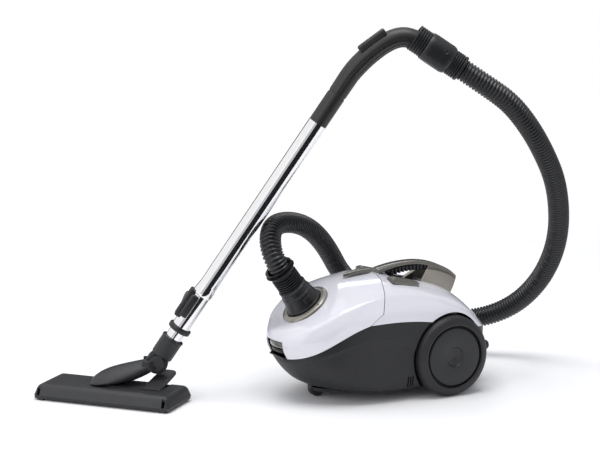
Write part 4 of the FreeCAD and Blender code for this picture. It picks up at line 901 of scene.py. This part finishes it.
# ---------------------------------------------------------------- floor, light and backdrop
# A pale round floor and soft studio light from above and both sides. What the camera sees past the
# floor is plain white from every side, so nothing stands behind the object.
world = bpy.data.worlds.new("studio")
world.use_nodes = True
world.node_tree.nodes["Background"].inputs["Color"].default_value = (.93, .94, 1, 1)
world.node_tree.nodes["Background"].inputs["Strength"].default_value = .62
sky = world.node_tree
white = sky.nodes.new("ShaderNodeBackground")
white.inputs["Color"].default_value = (1, 1, 1, 1)
rays = sky.nodes.new("ShaderNodeLightPath")
chosen = sky.nodes.new("ShaderNodeMixShader")
sky.links.new(rays.outputs["Is Camera Ray"], chosen.inputs[0])
sky.links.new(sky.nodes["Background"].outputs[0], chosen.inputs[1])
sky.links.new(white.outputs[0], chosen.inputs[2])
sky.links.new(chosen.outputs[0], sky.nodes["World Output"].inputs["Surface"])
bpy.context.scene.world = world
bpy.ops.object.select_all(action="DESELECT")
bpy.ops.mesh.primitive_circle_add(vertices=128, radius=1.7, fill_type="NGON", location=(0, 0, -.0004))
floor = bpy.context.object
floor.name = "floor"
pale = bpy.data.materials.new("floor_white")
pale.use_nodes = True
pale.node_tree.nodes["Principled BSDF"].inputs["Base Color"].default_value = (.92, .92, .92, 1)
pale.node_tree.nodes["Principled BSDF"].inputs["Roughness"].default_value = .9
floor.data.materials.append(pale)


def soft_light(name, place, aim, width, height, power):
    """A rectangular soft box."""
    lamp = bpy.data.lights.new(name, "AREA")
    lamp.shape = "RECTANGLE"
    lamp.size = width
    lamp.size_y = height
    lamp.energy = power
    box = bpy.data.objects.new(name, lamp)
    bpy.context.scene.collection.objects.link(box)
    box.location = place
    box.rotation_euler = (Vector(aim) - Vector(place)).to_track_quat("-Z", "Y").to_euler()


soft_light("top_box", (-.2, -.3, 3.0), (0, 0, .1), 2.2, 1.6, 58)
soft_light("left_box", (-3.0, -1.4, 1.9), (0, 0, .3), .8, 1.8, 19)
soft_light("back_box", (1.6, 2.8, 2.0), (0, 0, .3), 2.0, 1.2, 22)


def card(name, centre, toward, up, width, height, glow):
    """A flat card for the chrome to reflect, seen only in reflections: black for a painted dark reflection,
    or glowing white for a painted highlight.
    """
    bpy.ops.object.select_all(action="DESELECT")
    bpy.ops.mesh.primitive_plane_add(size=1, location=(0, 0, 0))
    sheet = bpy.context.object
    sheet.name = name
    sheet.data.transform(axes(centre, toward, up) @ Matrix.Diagonal((width, height, 1, 1)))
    ink = bpy.data.materials.new(name)
    ink.use_nodes = True
    shader = ink.node_tree.nodes["Principled BSDF"]
    shader.inputs["Base Color"].default_value = (.004, .004, .004, 1)
    shader.inputs["Roughness"].default_value = 1
    shader.inputs["Emission Color"].default_value = (1, 1, 1, 1)
    shader.inputs["Emission Strength"].default_value = glow
    sheet.data.materials.append(ink)
    sheet.visible_camera = False
    sheet.visible_diffuse = False
    sheet.visible_shadow = False


def beside_wand(name, turn, reach, width, glow):
    """A long painted-reflection card beside the wand, at an angle from the camera's side and a distance."""
    level = WAND.inverted() @ camera.location
    angle = math.atan2(level.y, level.x) + math.radians(turn)
    out = Vector((math.cos(angle), math.sin(angle), 0))
    spot = WAND @ (out * reach + Vector((0, 0, .38)))
    heading = WAND.to_3x3() @ out
    card(name, spot, -heading, WAND.to_3x3() @ Vector((0, 0, 1)), width, 1.9, glow)


# Painted reflections: a dark band in the chrome on the camera's side, a glowing white sheet above it, and a
# dark sheet behind the object for the gloss to reflect.
beside_wand("painted_dark_band_front", 28, .35, .40, 0)
beside_wand("painted_white_reflection_sky", -80, .9, 2.4, 1.0)
level_sight = Vector((sight.x, sight.y, 0)).normalized()
card("painted_dark_band_back", Vector((0, 0, .8)) + level_sight * 2.2, -level_sight, (0, 0, 1), 3.4, 1.6, 0)

view_settings = bpy.context.scene.view_settings
view_settings.view_transform = "Standard"
